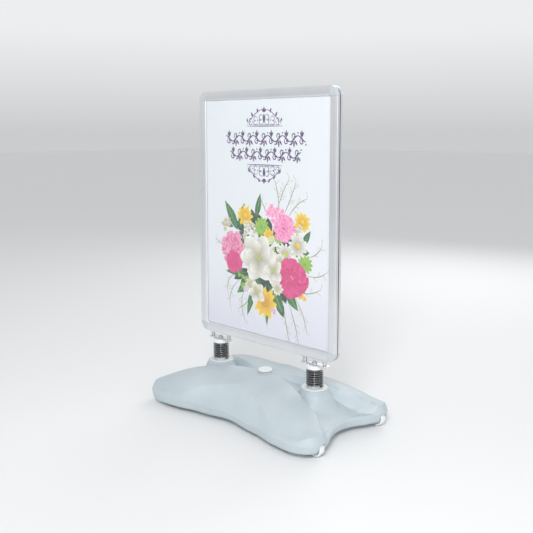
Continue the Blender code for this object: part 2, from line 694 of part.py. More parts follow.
def make_corner(name, sx, sz, plastic):
    """Quarter-round corner with keys into the rails and room for the board and posters."""
    bm = bmesh.new()
    half = PANEL_T / 2
    steps = 8

    def at(a, b, y):
        x = sx * (PANEL_W / 2 - a)
        return Vector((x, y, PANEL_MID_Z + sz * (PANEL_H / 2 - b)))

    arc = [(LID_W - (LID_W - 0.0002) * math.sin(t), LID_W - (LID_W - 0.0002) * math.cos(t))
           for t in (math.pi / 2 * k / steps for k in range(steps + 1))]
    outline = arc + [(LID_W, LID_W)]
    front = [bm.verts.new(at(a, b, -half)) for a, b in outline]
    face = bm.faces.new(front)
    swept = bmesh.ops.extrude_face_region(bm, geom=[face])["geom"]
    moved = [item for item in swept if isinstance(item, bmesh.types.BMVert)]
    bmesh.ops.translate(bm, verts=moved, vec=(0.0, PANEL_T, 0.0))
    bmesh.ops.recalc_face_normals(bm, faces=bm.faces)
    centre = at(LID_W, LID_W, 0.0)
    rim = [edge for edge in bm.edges
           if all(abs((v.co - centre).xz.length - LID_W) < 0.001 for v in edge.verts)
           and abs(edge.verts[0].co.y - edge.verts[1].co.y) < 0.001]
    bmesh.ops.bevel(bm, geom=rim, offset=0.0022, offset_type="OFFSET", segments=2, profile=0.5,
                    affect="EDGES")
    corner = add_object(name, mesh_from(name, bm), plastic)

    def block(label, a0, a1, b0, b1, y):
        ends = at(a0, b0, -y), at(a1, b1, y)
        low = [min(pair) for pair in zip(*ends)]
        high = [max(pair) for pair in zip(*ends)]
        return box(f"{name}_{label}", low, high, None, cutters)

    past = LID_W + 0.010
    sheet_edge = LID_W - LIP_COVER - 0.0004
    boolean(corner, block("sheet_room", sheet_edge, past, sheet_edge, past, COVER_FACE_Y + GAP))
    board_edge = BOARD_EDGE - GAP
    boolean(corner, block("board_room", board_edge, past, board_edge, past, BOARD_T / 2 + GAP))
    seam = SEAM / 2
    boolean(corner, block("seam_x", -0.010, 0.6 * RAIL_WALL, -0.010, past, seam))
    boolean(corner, block("seam_z", -0.010, past, -0.010, 0.6 * RAIL_WALL, seam))
    low, high = RAIL_HOLLOW[0] + GAP, RAIL_HOLLOW[1] - GAP
    key = LID_W + KEY_L
    root = LID_W - 0.006
    boolean(corner, block("key_x", root, key, low, high, BOARD_T / 2), "UNION")
    boolean(corner, block("key_z", low, high, root, key, BOARD_T / 2), "UNION")


def make_sheets(finishes):
    half_w, half_h = PANEL_W / 2 - BOARD_EDGE, PANEL_H / 2 - BOARD_EDGE
    box("backing_board", (-half_w, -BOARD_T / 2, PANEL_MID_Z - half_h),
        (half_w, BOARD_T / 2, PANEL_MID_Z + half_h), finishes["board"])
    half_w, half_h = POSTER_W / 2, POSTER_H / 2
    layers = (("poster", POSTER_Y, POSTER_T), ("clear_cover", COVER_Y, COVER_T))
    for face in (-1, 1):
        name = face_name(face)
        for label, near, thick in layers:
            ends = sorted((face * near, face * (near + thick)))
            box(f"{name}_{label}", (-half_w, ends[0], PANEL_MID_Z - half_h),
                (half_w, ends[1], PANEL_MID_Z + half_h), finishes[label])


def make_panel(finishes):
    make_rails_and_lids(finishes["aluminium"])
    for sx in (-1, 1):
        for sz in (-1, 1):
            height = "top" if sz > 0 else "bottom"
            make_corner(f"{height}_{side_name(sx)}_corner", sx, sz, finishes["corner"])
    make_sheets(finishes)


# ---- The whole sign -----------------------------------------------------------------------
def make_finishes():
    return {
        "tank": material("tank_plastic", (0.52, 0.60, 0.65), 0.38),
        "rubber": material("black_rubber", (0.03, 0.03, 0.035), 0.8),
        "white": material("white_plastic", (0.85, 0.87, 0.88), 0.35),
        "collar": material("collar_plastic", (0.66, 0.71, 0.74), 0.4),
        "steel": material("zinc_steel", (0.62, 0.63, 0.64), 0.35, 1.0),
        "brass": material("brass", (0.75, 0.58, 0.28), 0.3, 1.0),
        "spring": material("black_spring_steel", (0.012, 0.012, 0.014), 0.25),
        "plate": material("bracket_steel", (0.78, 0.79, 0.80), 0.3, 1.0),
        "aluminium": material("anodised_aluminium", (0.80, 0.81, 0.83), 0.32, 1.0),
        "corner": material("silver_plastic", (0.68, 0.70, 0.73), 0.35),
        "board": material("foam_board", (0.80, 0.80, 0.80), 0.8),
        "poster": material("poster_paper", (0.84, 0.86, 0.88), 0.6),
        "clear_cover": material("clear_sheet", (0.95, 0.97, 0.98), 0.15),
    }


clear_scene()
all_finishes = make_finishes()
make_tank(all_finishes["tank"])
make_feet(all_finishes["rubber"])
make_wheels(all_finishes["white"], all_finishes["steel"])
make_filler_cap(all_finishes["white"], all_finishes["rubber"])
make_spring_fixings(all_finishes)
make_brackets(all_finishes)
make_panel(all_finishes)
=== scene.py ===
import json
import math
import random

import bpy
import numpy as np
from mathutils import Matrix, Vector
from mathutils.geometry import delaunay_2d_cdt

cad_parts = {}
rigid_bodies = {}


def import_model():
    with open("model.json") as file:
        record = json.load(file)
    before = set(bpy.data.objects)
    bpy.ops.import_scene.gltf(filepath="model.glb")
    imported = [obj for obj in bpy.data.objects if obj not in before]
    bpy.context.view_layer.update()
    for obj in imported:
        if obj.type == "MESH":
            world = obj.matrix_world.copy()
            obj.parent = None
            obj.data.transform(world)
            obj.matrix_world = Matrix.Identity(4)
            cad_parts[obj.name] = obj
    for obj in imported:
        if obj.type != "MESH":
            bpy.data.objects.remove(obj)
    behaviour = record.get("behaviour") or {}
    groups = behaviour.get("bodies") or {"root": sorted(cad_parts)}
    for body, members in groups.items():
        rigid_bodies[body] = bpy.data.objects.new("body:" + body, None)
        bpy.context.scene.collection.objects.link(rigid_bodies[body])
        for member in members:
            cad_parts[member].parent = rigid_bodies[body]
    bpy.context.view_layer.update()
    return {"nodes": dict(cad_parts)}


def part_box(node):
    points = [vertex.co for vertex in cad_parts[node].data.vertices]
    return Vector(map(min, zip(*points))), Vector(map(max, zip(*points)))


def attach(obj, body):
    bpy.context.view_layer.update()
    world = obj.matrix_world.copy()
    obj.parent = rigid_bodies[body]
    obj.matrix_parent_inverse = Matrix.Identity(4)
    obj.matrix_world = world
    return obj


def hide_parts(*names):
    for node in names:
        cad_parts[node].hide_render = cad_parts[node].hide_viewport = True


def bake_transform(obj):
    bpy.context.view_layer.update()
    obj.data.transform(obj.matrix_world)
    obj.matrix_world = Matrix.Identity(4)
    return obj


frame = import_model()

# ---- Studio ---------------------------------------------------------------------------------
# A plain pale floor in a white surround that is brightest just above the horizon. The key light
# is in front, a weak one stands at the right and one behind. The camera looks on the right corner.
bpy.ops.object.select_all(action="DESELECT")
bpy.ops.mesh.primitive_plane_add(size=60.0, location=(0.0, 0.0, 0.0))
floor = bpy.context.object
floor.name = "floor"

floor_paint = bpy.data.materials.new("floor_paint")
floor_paint.use_nodes = True
floor_shader = floor_paint.node_tree.nodes["Principled BSDF"].inputs
floor_shader["Base Color"].default_value = (0.90, 0.905, 0.91, 1.0)
floor_shader["Roughness"].default_value = 0.7
floor.data.materials.append(floor_paint)

surround = bpy.data.worlds.new("surround")
surround.use_nodes = True
air = surround.node_tree.nodes
direction = air.new("ShaderNodeTexCoord")
upward = air.new("ShaderNodeSeparateXYZ")
sky = air.new("ShaderNodeValToRGB")
SKY_TONES = [(0.00, 0.66), (0.13, 0.93), (0.40, 0.93), (0.80, 0.52)]  # rise, brightness
sky.color_ramp.elements.new(0.2)
sky.color_ramp.elements.new(0.4)
for stop, (rise, tone) in zip(sky.color_ramp.elements, SKY_TONES):
    stop.position = rise
    stop.color = (tone * 0.985, tone, tone * 1.01, 1.0)
surround.node_tree.links.new(direction.outputs["Generated"], upward.inputs[0])
surround.node_tree.links.new(upward.outputs["Z"], sky.inputs[0])
surround.node_tree.links.new(sky.outputs[0], air["Background"].inputs["Color"])
air["Background"].inputs["Strength"].default_value = 0.92
bpy.context.scene.world = surround
bpy.context.scene.view_settings.view_transform = "Standard"

in_scene = bpy.context.scene.collection.objects
SIGN_MIDDLE = Vector((0.0, 0.0, 0.45))
for name, place, size, power in (
    ("key_light", (1.7, -2.5, 2.7), 0.9, 62.0),
    ("right_light", (3.0, -1.6, 1.0), 1.4, 10.0),
    ("back_light", (-0.8, 3.0, 2.2), 2.0, 30.0),
):
    lamp = bpy.data.lights.new(name, "AREA")
    lamp.size = size
    lamp.energy = power
    light = bpy.data.objects.new(name, lamp)
    light.location = place
    light.rotation_euler = (SIGN_MIDDLE - Vector(place)).to_track_quat("-Z", "Y").to_euler()
    in_scene.link(light)

CAMERA_DIP = 6.406
CAMERA_TURN = 42.923
lens = bpy.data.cameras.new("camera")
lens.sensor_width = 36.0
lens.lens = 49.25
lens.shift_x = -0.0037
lens.shift_y = -0.10
camera = bpy.data.objects.new("camera", lens)
camera.location = (1.7079, -1.8199, 0.9847)
camera.rotation_euler = (math.radians(90.0 - CAMERA_DIP), 0.0, math.radians(CAMERA_TURN))
in_scene.link(camera)
bpy.context.scene.camera = camera


# ---- Base tank ------------------------------------------------------------------------------
# One hollow blow-moulded polyethylene tank that is filled with water. Four arms reach from a
# domed middle to the lobes, each with a crease along its front; a bell rises under each spring,
# a short neck takes the filler cap and an arch at each right-hand lobe clears a wheel.
TANK_END_X = 0.3385
TANK_LOBE_X = 0.3905
TANK_WAIST_Y = 0.1888
TANK_LOBE_Y = 0.2311
TANK_BOTTOM = 0.016
TANK_RIM_Z = 0.044
TANK_CREST_Z = 0.146
DISH_DEPTH = 0.0055
SPRING_X = 0.225
BOSS_TOP_Z = 0.140
NECK_TOP_Z = 0.1455
NECK_OUTER_R = 0.023
TANK_COLUMNS = 288
POLE_R = 1e-5  # radius that stands for nought, where a turned outline meets its axis


def step_between(low, high, value):
    """Nought below low, one above high and a smooth rise between."""
    t = min(max((value - low) / (high - low), 0.0), 1.0)
    return t * t * (3.0 - 2.0 * t)


def steepness(angle):
    """The angle from the X axis, folded into one quarter."""
    return math.atan2(abs(math.sin(angle)), abs(math.cos(angle)))


def tank_reach(angle):
    """Distance from the middle to the widest edge: a smooth curve through one quarter's points."""
    gain = TANK_LOBE_X - TANK_END_X
    quarter = [
        (TANK_END_X, 0.0), (TANK_END_X + 0.23 * gain, 0.26 * TANK_LOBE_Y),
        (TANK_END_X + 0.75 * gain, 0.51 * TANK_LOBE_Y), (TANK_LOBE_X, 0.73 * TANK_LOBE_Y),
        (TANK_LOBE_X - 0.014, 0.895 * TANK_LOBE_Y), (0.85 * TANK_LOBE_X, TANK_LOBE_Y),
        (0.67 * TANK_LOBE_X, 0.995 * TANK_LOBE_Y),
        (0.38 * TANK_LOBE_X, TANK_WAIST_Y + 0.47 * (TANK_LOBE_Y - TANK_WAIST_Y)),
        (0.0, TANK_WAIST_Y),
    ]
    points = [(quarter[1][0], -quarter[1][1])] + quarter + [(-quarter[-2][0], quarter[-2][1])]
    polar = [(math.atan2(y, x), math.hypot(x, y)) for x, y in points]
    a = steepness(angle)
    for i in range(1, len(polar) - 2):
        (a0, r0), (a1, r1), (a2, r2), (a3, r3) = polar[i - 1:i + 3]
        if a <= a2 + 1e-9:
            t = (a - a1) / (a2 - a1)
            m1 = (r2 - r0) / (a2 - a0) * (a2 - a1)
            m2 = (r3 - r1) / (a3 - a1) * (a2 - a1)
            return ((2 * t**3 - 3 * t**2 + 1) * r1 + (t**3 - 2 * t**2 + t) * m1
                    + (3 * t**2 - 2 * t**3) * r2 + (t**3 - t**2) * m2)
    return polar[-2][1]


def inner_edge(u):
    """How far from the long axis an arm starts and the valley between two arms ends."""
    return 0.38 * (math.hypot(u, 0.030) - 0.045) + 3.0 * max(0.0, u - 0.300) ** 2


def arm_height(u, v):
    """An arm's top: it falls from the dome to the lobe and rolls off sideways."""
    along = max(0.0, u - 0.080) / 0.300
    beyond = max(0.0, v - inner_edge(u))
    dish = DISH_DEPTH * math.exp(-(u * u + v * v) / 0.0025)
    roll = 5.0 + 118.0 * u * u / (u + 0.050)
    height = TANK_CREST_Z - dish - 0.074 * along**2.2 - roll * beyond**3
    low = TANK_RIM_Z + 0.010
    return (height + low + math.hypot(height - low, 0.012)) / 2


def tank_height(x, y):
    """The top surface: arms and valleys, and a flare that rises to each spring's bell."""
    u, v = abs(x), abs(y)
    edge = inner_edge(u)
    start = TANK_CREST_Z - DISH_DEPTH
    valley = start - (start - TANK_RIM_Z - 0.006) * min(1.0, u / 0.340) ** 1.7
    arm = arm_height(u, v)
    low = min(valley, arm)
    height = low + (arm - low) * step_between(edge - 0.016, edge + 0.004, v)
    away = math.hypot(u - SPRING_X, v)
    flare = 0.062 + 0.066 * math.exp(-max(0.0, away - 0.052) / 0.020)
    flare -= 0.5 * max(0.0, away - 0.070)
    return (height + flare + math.hypot(height - flare, 0.007)) / 2


def face_profile(angle, t):
    """Height left at a share t of the way down the outer face, rounder at the lobes' ends."""
    a = steepness(angle)
    lobe = 1.0 - t**2.2
    face = (1.0 - t) ** 1.45
    soft = (1.0 - t**1.25) ** 1.35
    front = face + (soft - face) * step_between(0.95, 1.35, a)
    return lobe + (front - lobe) * step_between(0.50, 0.85, a)


tank_points = [(0.0, 0.0, tank_height(0.0, 0.0))]
shares = [k / 64 for k in range(1, 65)] + [1.0 + k / 18 for k in range(1, 19)]
columns = []
for k in range(TANK_COLUMNS):
    angle = 2 * math.pi * k / TANK_COLUMNS
    margin = 0.014 + 0.040 * step_between(0.48, 0.95, steepness(angle))
    columns.append((angle, tank_reach(angle) - margin, margin))
for share in shares:
    for angle, crease, margin in columns:
        r = crease * min(share, 1.0) + margin * max(share - 1.0, 0.0)
        inside = min(r, crease)
        z = tank_height(inside * math.cos(angle), inside * math.sin(angle))
        if share > 1.0:
            z = TANK_RIM_Z + (z - TANK_RIM_Z) * face_profile(angle, share - 1.0)
        tank_points.append((r * math.cos(angle), r * math.sin(angle), z))
side_steps = [(0.0006, 0.93), (0.0016, 0.78), (0.0030, 0.50), (0.0052, 0.28), (0.0090, 0.11),
              (0.0125, 0.03), (0.0150, 0.0)]  # how far in, and share of the rim's height
rim = tank_points[-TANK_COLUMNS:]
for tuck, height in side_steps:
    for x, y, z in rim:
        away = 1.0 - tuck / math.hypot(x, y)
        tank_points.append((x * away, y * away, TANK_BOTTOM + (z - TANK_BOTTOM) * height))
tank_faces = [(0, 1 + k, 1 + (k + 1) % TANK_COLUMNS) for k in range(TANK_COLUMNS)]
rings = len(shares) + len(side_steps)
for ring in range(rings - 1):
    for k in range(TANK_COLUMNS):
        near, far = 1 + ring * TANK_COLUMNS, 1 + (ring + 1) * TANK_COLUMNS
        after = (k + 1) % TANK_COLUMNS
        tank_faces.append((near + k, far + k, far + after, near + after))
last = 1 + (rings - 1) * TANK_COLUMNS
tank_faces.append(tuple(last + k for k in reversed(range(TANK_COLUMNS))))
tank_mesh = bpy.data.meshes.new("water_tank")
tank_mesh.from_pydata(tank_points, [], tank_faces)
tank = bpy.data.objects.new("water_tank", tank_mesh)
in_scene.link(tank)


def select_only(piece):
    bpy.ops.object.select_all(action="DESELECT")
    piece.select_set(True)
    bpy.context.view_layer.objects.active = piece


def settle(piece, smooth_angle=35.0):
    """Applies the piece's place to its mesh and shades it, sharp where it turns more than that."""
    select_only(piece)
    bpy.ops.object.transform_apply()
    bpy.ops.object.shade_smooth_by_angle(angle=math.radians(smooth_angle))
    return piece


def named(name):
    """Names the primitive just added, with its place applied."""
    piece = bpy.context.object
    piece.name = name
    bpy.ops.object.transform_apply()
    return piece


def edit(selection):
    """Opens the active piece for editing, with all or none of it selected."""
    bpy.ops.object.mode_set(mode="EDIT")
    bpy.ops.mesh.select_all(action=selection)


def lathe(name, profile, place, segments=64, axis="Z"):
    """Turns a piece up from a ring: each (radius, height) is the last ring extruded and scaled.

    The outline ends where it starts, or on the axis at both ends."""
    first_r, first_h = profile[0]
    bpy.ops.object.select_all(action="DESELECT")
    bpy.ops.mesh.primitive_circle_add(vertices=segments, radius=max(first_r, POLE_R),
                                      location=(0.0, 0.0, first_h))
    piece = named(name)
    edit("SELECT")
    for (r0, h0), (r1, h1) in zip(profile, profile[1:]):
        scale = max(r1, POLE_R) / max(r0, POLE_R)
        bpy.ops.mesh.extrude_edges_move()
        bpy.ops.transform.resize(value=(scale, scale, 1.0), center_override=(0.0, 0.0, h0))
        bpy.ops.transform.translate(value=(0.0, 0.0, h1 - h0))
    bpy.ops.mesh.select_all(action="SELECT")
    bpy.ops.mesh.remove_doubles(threshold=0.00003)
    bpy.ops.mesh.normals_make_consistent(inside=False)
    bpy.ops.object.mode_set(mode="OBJECT")
    if axis == "Y":
        piece.rotation_euler = (math.pi / 2, 0.0, 0.0)
    piece.location = place
    return settle(piece)


def join(pieces):
    """Makes the pieces one mesh, in the first of them."""
    select_only(pieces[0])
    for piece in pieces:
        piece.select_set(True)
    bpy.ops.object.join()
    return pieces[0]


def combine(piece, others, operation):
    """Joins to or cuts from a piece the shapes in others, which are then gone."""
    for other in others:
        change = piece.modifiers.new(operation.title(), "BOOLEAN")
        change.operation = operation
        change.object = other
        change.solver = "EXACT"
        select_only(piece)
        bpy.ops.object.modifier_apply(modifier=change.name)
        bpy.data.objects.remove(other, do_unlink=True)


def block(name, low, high):
    bpy.ops.object.select_all(action="DESELECT")
    size = [b - a for a, b in zip(low, high)]
    middle = [(a + b) / 2 for a, b in zip(low, high)]
    bpy.ops.mesh.primitive_cube_add(size=1.0, location=middle, scale=size)
    return named(name)


def cylinder(name, radius, depth, middle, vertices=32):
    bpy.ops.object.select_all(action="DESELECT")
    bpy.ops.mesh.primitive_cylinder_add(vertices=vertices, radius=radius, depth=depth,
                                        location=middle)
    return named(name)


bell = [(0.0, 0.090), (0.0490, 0.0900), (0.0500, 0.1240), (0.0494, 0.1310), (0.0478, 0.1330),
        (0.0472, 0.1385), (0.0455, BOSS_TOP_Z), (0.0, BOSS_TOP_Z)]
bells = [lathe(f"bell_{side}", bell, (side * SPRING_X, 0.0, 0.0), 72) for side in (-1, 1)]
neck = lathe("neck", [(0.0, 0.120), (NECK_OUTER_R + 0.004, 0.120),
                      (NECK_OUTER_R + 0.002, 0.1415), (NECK_OUTER_R, 0.1440),
                      (NECK_OUTER_R - 0.0006, NECK_TOP_Z), (0.0, NECK_TOP_Z)], (0.0, 0.0, 0.0), 48)
combine(tank, bells + [neck], "UNION")

front_wheel_low, front_wheel_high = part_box("front_wheel")
wheel_middle = (front_wheel_low + front_wheel_high) / 2
WELL_R = 0.028
WELL_HALF = 0.014
MOUTH_SHARE = 0.999  # the mouth's cutter is this much of the arch's size, so no faces coincide
MOUTH_END_X = 0.42
arches = []
for side in (-1, 1):
    x, y, z = wheel_middle.x, side * abs(wheel_middle.y), wheel_middle.z
    arch = [(0.0, -WELL_HALF), (WELL_R, -WELL_HALF), (WELL_R, WELL_HALF), (0.0, WELL_HALF)]
    arches.append(lathe(f"arch_{side}", arch, (x, y, z), 48, "Y"))
    mouth_half = WELL_HALF * MOUTH_SHARE
    arches.append(block(f"mouth_{side}", (x - WELL_R * MOUTH_SHARE, y - mouth_half, 0.0),
                        (MOUTH_END_X, y + mouth_half, z)))
combine(tank, arches, "DIFFERENCE")
settle(tank, 28.0)


class Socket:
    """A shader value: an expression on it adds the Math nodes that work it out."""

    def __init__(self, shader, link):
        self.shader, self.link = shader, link

    def math(self, operation, first, second):
        return self.shader.node("ShaderNodeMath", {"operation": operation}, [first, second])[0]

    def __add__(self, other):
        return self.math("ADD", self, other)

    def __mul__(self, other):
        return self.math("MULTIPLY", self, other)

    __radd__, __rmul__ = __add__, __mul__


class Finish:
    """A material on one Principled shader, whose sockets are set by name to numbers or links."""

    def __init__(self, name, **constants):
        self.material = bpy.data.materials.new(name)
        self.material.use_nodes = True
        self.tree = self.material.node_tree
        self.principled = self.tree.nodes["Principled BSDF"]
        self.set(**constants)

    def fill(self, socket, value):
        if isinstance(value, Socket):
            self.tree.links.new(value.link, socket)
        elif isinstance(value, tuple) and len(value) < len(socket.default_value):
            socket.default_value = (*value, 1.0)
        else:
            socket.default_value = value

    def set(self, **values):
        for name, value in values.items():
            self.fill(self.principled.inputs[name.replace("_", " ")], value)
        return self

    def node(self, kind, settings=None, inputs=()):
        """Adds a node: settings first, then its inputs by number or name. Gives its outputs."""
        made = self.tree.nodes.new(kind)
        for key, value in (settings or {}).items():
            if key == "stops":
                ramp = made.color_ramp.elements
                while len(ramp) < len(value):
                    ramp.new(0.5)
                for stop, (position, color) in zip(ramp, value):
                    stop.position = position
                    stop.color = (*color, 1.0)
            else:
                setattr(made, key, value)
        pairs = inputs.items() if isinstance(inputs, dict) else enumerate(inputs)
        for key, value in pairs:
            self.fill(made.inputs[key], value)
        return [Socket(self, output) for output in made.outputs]

    def place(self):
        return self.node("ShaderNodeTexCoord")[3]

    def stretched(self, scale):
        return self.node("ShaderNodeMapping", None, {"Vector": self.place(), "Scale": scale})[0]

    def noise(self, scale, detail, vector=None):
        return self.node("ShaderNodeTexNoise", None, {"Vector": vector or self.place(),
                                                      "Scale": scale, "Detail": detail})[0]

    def ramp(self, value, *stops):
        return self.node("ShaderNodeValToRGB", {"stops": stops}, [value])[0]

    def mottle(self, scale, detail, *stops):
        """Clouds the colour between the stops, and gives the clouds."""
        clouds = self.noise(scale, detail)
        self.set(Base_Color=self.ramp(clouds, *stops))
        return clouds

    def blend(self, factor, first, second):
        return self.node("ShaderNodeMix", {"data_type": "RGBA"},
                         {0: factor, 6: first, 7: second})[2]

    def seam(self):
        """One in the groove round the panel's edge, where the colour is darkened as painted shade.
        """
        depth = self.node("ShaderNodeSeparateXYZ", None, [self.place()])[1]
        return self.node("ShaderNodeMath", {"operation": "COMPARE"}, [depth, 0.0, GROOVE_SHADE_HALF])[0]

    def bump(self, height, strength, distance):
        self.set(Normal=self.node("ShaderNodeBump", None, {"Height": height, "Strength": strength,
                                                           "Distance": distance})[0])
        return self

    def on(self, *pieces):
        for piece in pieces:
            if piece.data.materials:
                for index in range(len(piece.data.materials)):
                    piece.data.materials[index] = self.material
            else:
                piece.data.materials.append(self.material)


TANK_BLUE_GREY = (0.485, 0.560, 0.600)
TANK_PALE = (0.545, 0.620, 0.655)
tank_finish = Finish("tank_plastic", IOR=1.5)
tank_finish.mottle(9.0, 4.0, (0.32, TANK_BLUE_GREY), (0.70, TANK_PALE))
grain = tank_finish.noise(1500.0, 2.0)
handling = tank_finish.noise(38.0, 5.0)
tank_finish.set(Roughness=0.36 + handling * 0.16)
tank_finish.bump(grain * 0.6 + tank_finish.noise(120.0, 2.0) * 0.9, 0.22, 0.0006)
tank_finish.on(tank)
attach(tank, "base")
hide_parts("base_tank")

# ---- Feet, wheels and filler cap ------------------------------------------------------------
# Four black rubber feet on studs, two white nylon wheels on zinc-plated axles in the arches,
# and a white moulded cap with a finger-grip rim that screws down on a rubber ring.
rubber = Finish("black_rubber", Roughness=0.8)
rubber.mottle(60.0, 4.0, (0.35, (0.022, 0.022, 0.025)), (0.75, (0.060, 0.060, 0.062)))
rubber.bump(rubber.noise(900.0, 2.0), 0.3, 0.0004)
foot_profile = [(0.0, 0.0004), (0.0130, 0.0004), (0.0138, 0.0), (0.0145, 0.0004), (0.0165, 0.0020),
                (0.0262, 0.0108), (0.0269, 0.0122), (0.0270, 0.0150), (0.0264, 0.0157),
                (0.0050, 0.0157), (0.0050, 0.0236), (0.0, 0.0236)]
for end, side in (("front", "left"), ("front", "right"), ("rear", "left"), ("rear", "right")):
    node = f"{end}_{side}_foot"
    low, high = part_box(node)
    middle = (low + high) / 2
    foot = lathe(f"{node}_moulding", foot_profile, (middle.x, middle.y, 0.0), 40)
    rubber.on(foot)
    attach(foot, "base")
    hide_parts(node)
nodes = frame["nodes"]
rubber.on(nodes["cap_seal"])

white = Finish("white_plastic", IOR=1.5)
white.mottle(45.0, 3.0, (0.30, (0.78, 0.81, 0.83)), (0.72, (0.88, 0.895, 0.90)))
white.set(Roughness=0.28 + white.noise(160.0, 3.0) * 0.16)
white.bump(white.noise(700.0, 2.0), 0.12, 0.0003)

zinc = Finish("zinc_steel", Metallic=1.0)
zinc_bloom = zinc.mottle(220.0, 4.0, (0.30, (0.52, 0.53, 0.55)), (0.75, (0.72, 0.73, 0.73)))
zinc.set(Roughness=0.24 + zinc_bloom * 0.22)

AXLE_R = 0.0044
HUB_R = 0.0085
RIM_R = 0.0190
TREAD_R = 0.024
WHEEL_HALF = 0.011
near_half = [  # from the middle of the tread to the bore, on the wheel's one side
    (TREAD_R, WHEEL_HALF - 0.0022), (TREAD_R - 0.0006, WHEEL_HALF - 0.0007),
    (TREAD_R - 0.0020, WHEEL_HALF), (RIM_R + 0.0007, WHEEL_HALF), (RIM_R, WHEEL_HALF - 0.0008),
    (0.0182, 0.0042), (0.0165, 0.0030), (0.0110, 0.0030), (HUB_R + 0.0008, 0.0040),
    (HUB_R, WHEEL_HALF - 0.0008), (HUB_R - 0.0008, WHEEL_HALF), (AXLE_R, WHEEL_HALF)]
wheel_profile = [(r, -h) for r, h in reversed(near_half)] + near_half + [(AXLE_R, -WHEEL_HALF)]
for end in ("front", "rear"):
    low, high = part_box(f"{end}_wheel")
    middle = (low + high) / 2
    wheel = lathe(f"{end}_wheel_moulding", wheel_profile, tuple(middle), 56, "Y")
    ribs = []
    for k in range(6):
        rib = block(f"rib_{k}", (HUB_R, -0.0075, -0.0009), (RIM_R, 0.0075, 0.0009))
        rib.rotation_euler = (0.0, math.pi * k / 3, 0.0)
        rib.location = middle
        select_only(rib)
        bpy.ops.object.transform_apply()
        ribs.append(rib)
    join([wheel] + ribs)
    white.on(wheel)
    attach(wheel, f"{end}_wheel")
    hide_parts(f"{end}_wheel")
    zinc.on(nodes[f"{end}_axle"])

CAP_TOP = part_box("filler_cap")[1].z
CAP_SKIRT = 0.1476
SPIGOT_END = CAP_SKIRT - 0.0135
SPIGOT_R = 0.0186
SPIGOT_BORE_R = 0.0146
GRIPS = 20
GRIP_REACH = 0.0258
cap_profile = [(0.0, CAP_TOP - 0.0009), (0.0085, CAP_TOP - 0.0009), (0.0165, CAP_TOP - 0.0007),
               (0.0180, CAP_TOP - 0.0001), (0.0190, CAP_TOP), (0.0216, CAP_TOP),
               (0.0232, CAP_TOP - 0.0005), (0.0243, CAP_TOP - 0.0016), (0.0247, CAP_TOP - 0.0030),
               (0.0248, CAP_SKIRT + 0.0003), (0.0244, CAP_SKIRT), (SPIGOT_R, CAP_SKIRT),
               (SPIGOT_R, SPIGOT_END), (SPIGOT_BORE_R, SPIGOT_END),
               (SPIGOT_BORE_R, CAP_SKIRT + 0.001), (0.0, CAP_SKIRT + 0.001)]
cap = lathe("filler_cap_moulding", cap_profile, (0.0, 0.0, 0.0), 120)
notches = []
for k in range(GRIPS):
    turn = 2 * math.pi * k / GRIPS
    place = (GRIP_REACH * math.cos(turn), GRIP_REACH * math.sin(turn), CAP_TOP - 0.003)
    notches.append(cylinder(f"notch_{k}", 0.0022, 0.014, place, 16))
combine(cap, [join(notches)], "DIFFERENCE")
settle(cap, 40.0)
white.on(cap)
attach(cap, "filler_cap")
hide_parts("filler_cap")

# ---- Springs and their fixings --------------------------------------------------------------
# Two springs of 7 mm wire, coated gloss black, each clamped at its foot by a grey collar and at
# its top by a white plug. Bolts hold them to the tank's brass inserts and to the brackets. The
# collar stays with the base and the plug sways with the panel; the coil is one fixed piece.
COIL_R = 0.0262
WIRE_SPACE_R = 0.0035
WIRE_R = 0.0032  # a little under its space, so that the turns show apart
SPRING_LOW = 0.1446
SPRING_HIGH = 0.2062
SPRING_TURNS = 7
BOLT_R = 0.0054
SHANK_R = 0.0208  # of the collar and the plug, inside the coil
black_coat = Finish("black_spring_steel", IOR=2.0, Coat_Weight=1.0, Coat_Roughness=0.06)
coat_dust = black_coat.mottle(260.0, 4.0, (0.4, (0.008, 0.008, 0.010)),
                              (0.8, (0.030, 0.030, 0.034)))
black_coat.set(Roughness=0.12 + coat_dust * 0.14)

collar_grey = Finish("collar_plastic", Roughness=0.4)
collar_grey.mottle(50.0, 3.0, (0.3, (0.72, 0.76, 0.78)), (0.7, (0.80, 0.83, 0.845)))
collar_grey.bump(collar_grey.noise(800.0, 2.0), 0.2, 0.0003)

brass = Finish("brass", Metallic=1.0, Roughness=0.3)
brass.mottle(300.0, 3.0, (0.3, (0.66, 0.49, 0.22)), (0.7, (0.80, 0.63, 0.33)))


def ease_edges(piece, chosen, offset, segments):
    """Bevels the edges whose two ends' heights are chosen."""
    edit("DESELECT")
    bpy.ops.object.mode_set(mode="OBJECT")
    for edge in piece.data.edges:
        edge.select = chosen(*(piece.data.vertices[i].co.z for i in edge.vertices))
    bpy.ops.object.mode_set(mode="EDIT")
    bpy.ops.mesh.bevel(offset=offset, segments=segments)
    bpy.ops.object.mode_set(mode="OBJECT")


def hexagon_nut(name, radius, height, place):
    """A six-sided prism with its upper corners turned off, bored through."""
    nut = cylinder(name, radius, height, (0.0, 0.0, height / 2), 6)
    ease_edges(nut, lambda a, b: min(a, b) > height - 1e-6, radius * 0.13, 3)
    nut.location = place
    settle(nut, 20.0)
    combine(nut, [cylinder("bore", 0.0061, 0.030, place)], "DIFFERENCE")
    return settle(nut, 25.0)


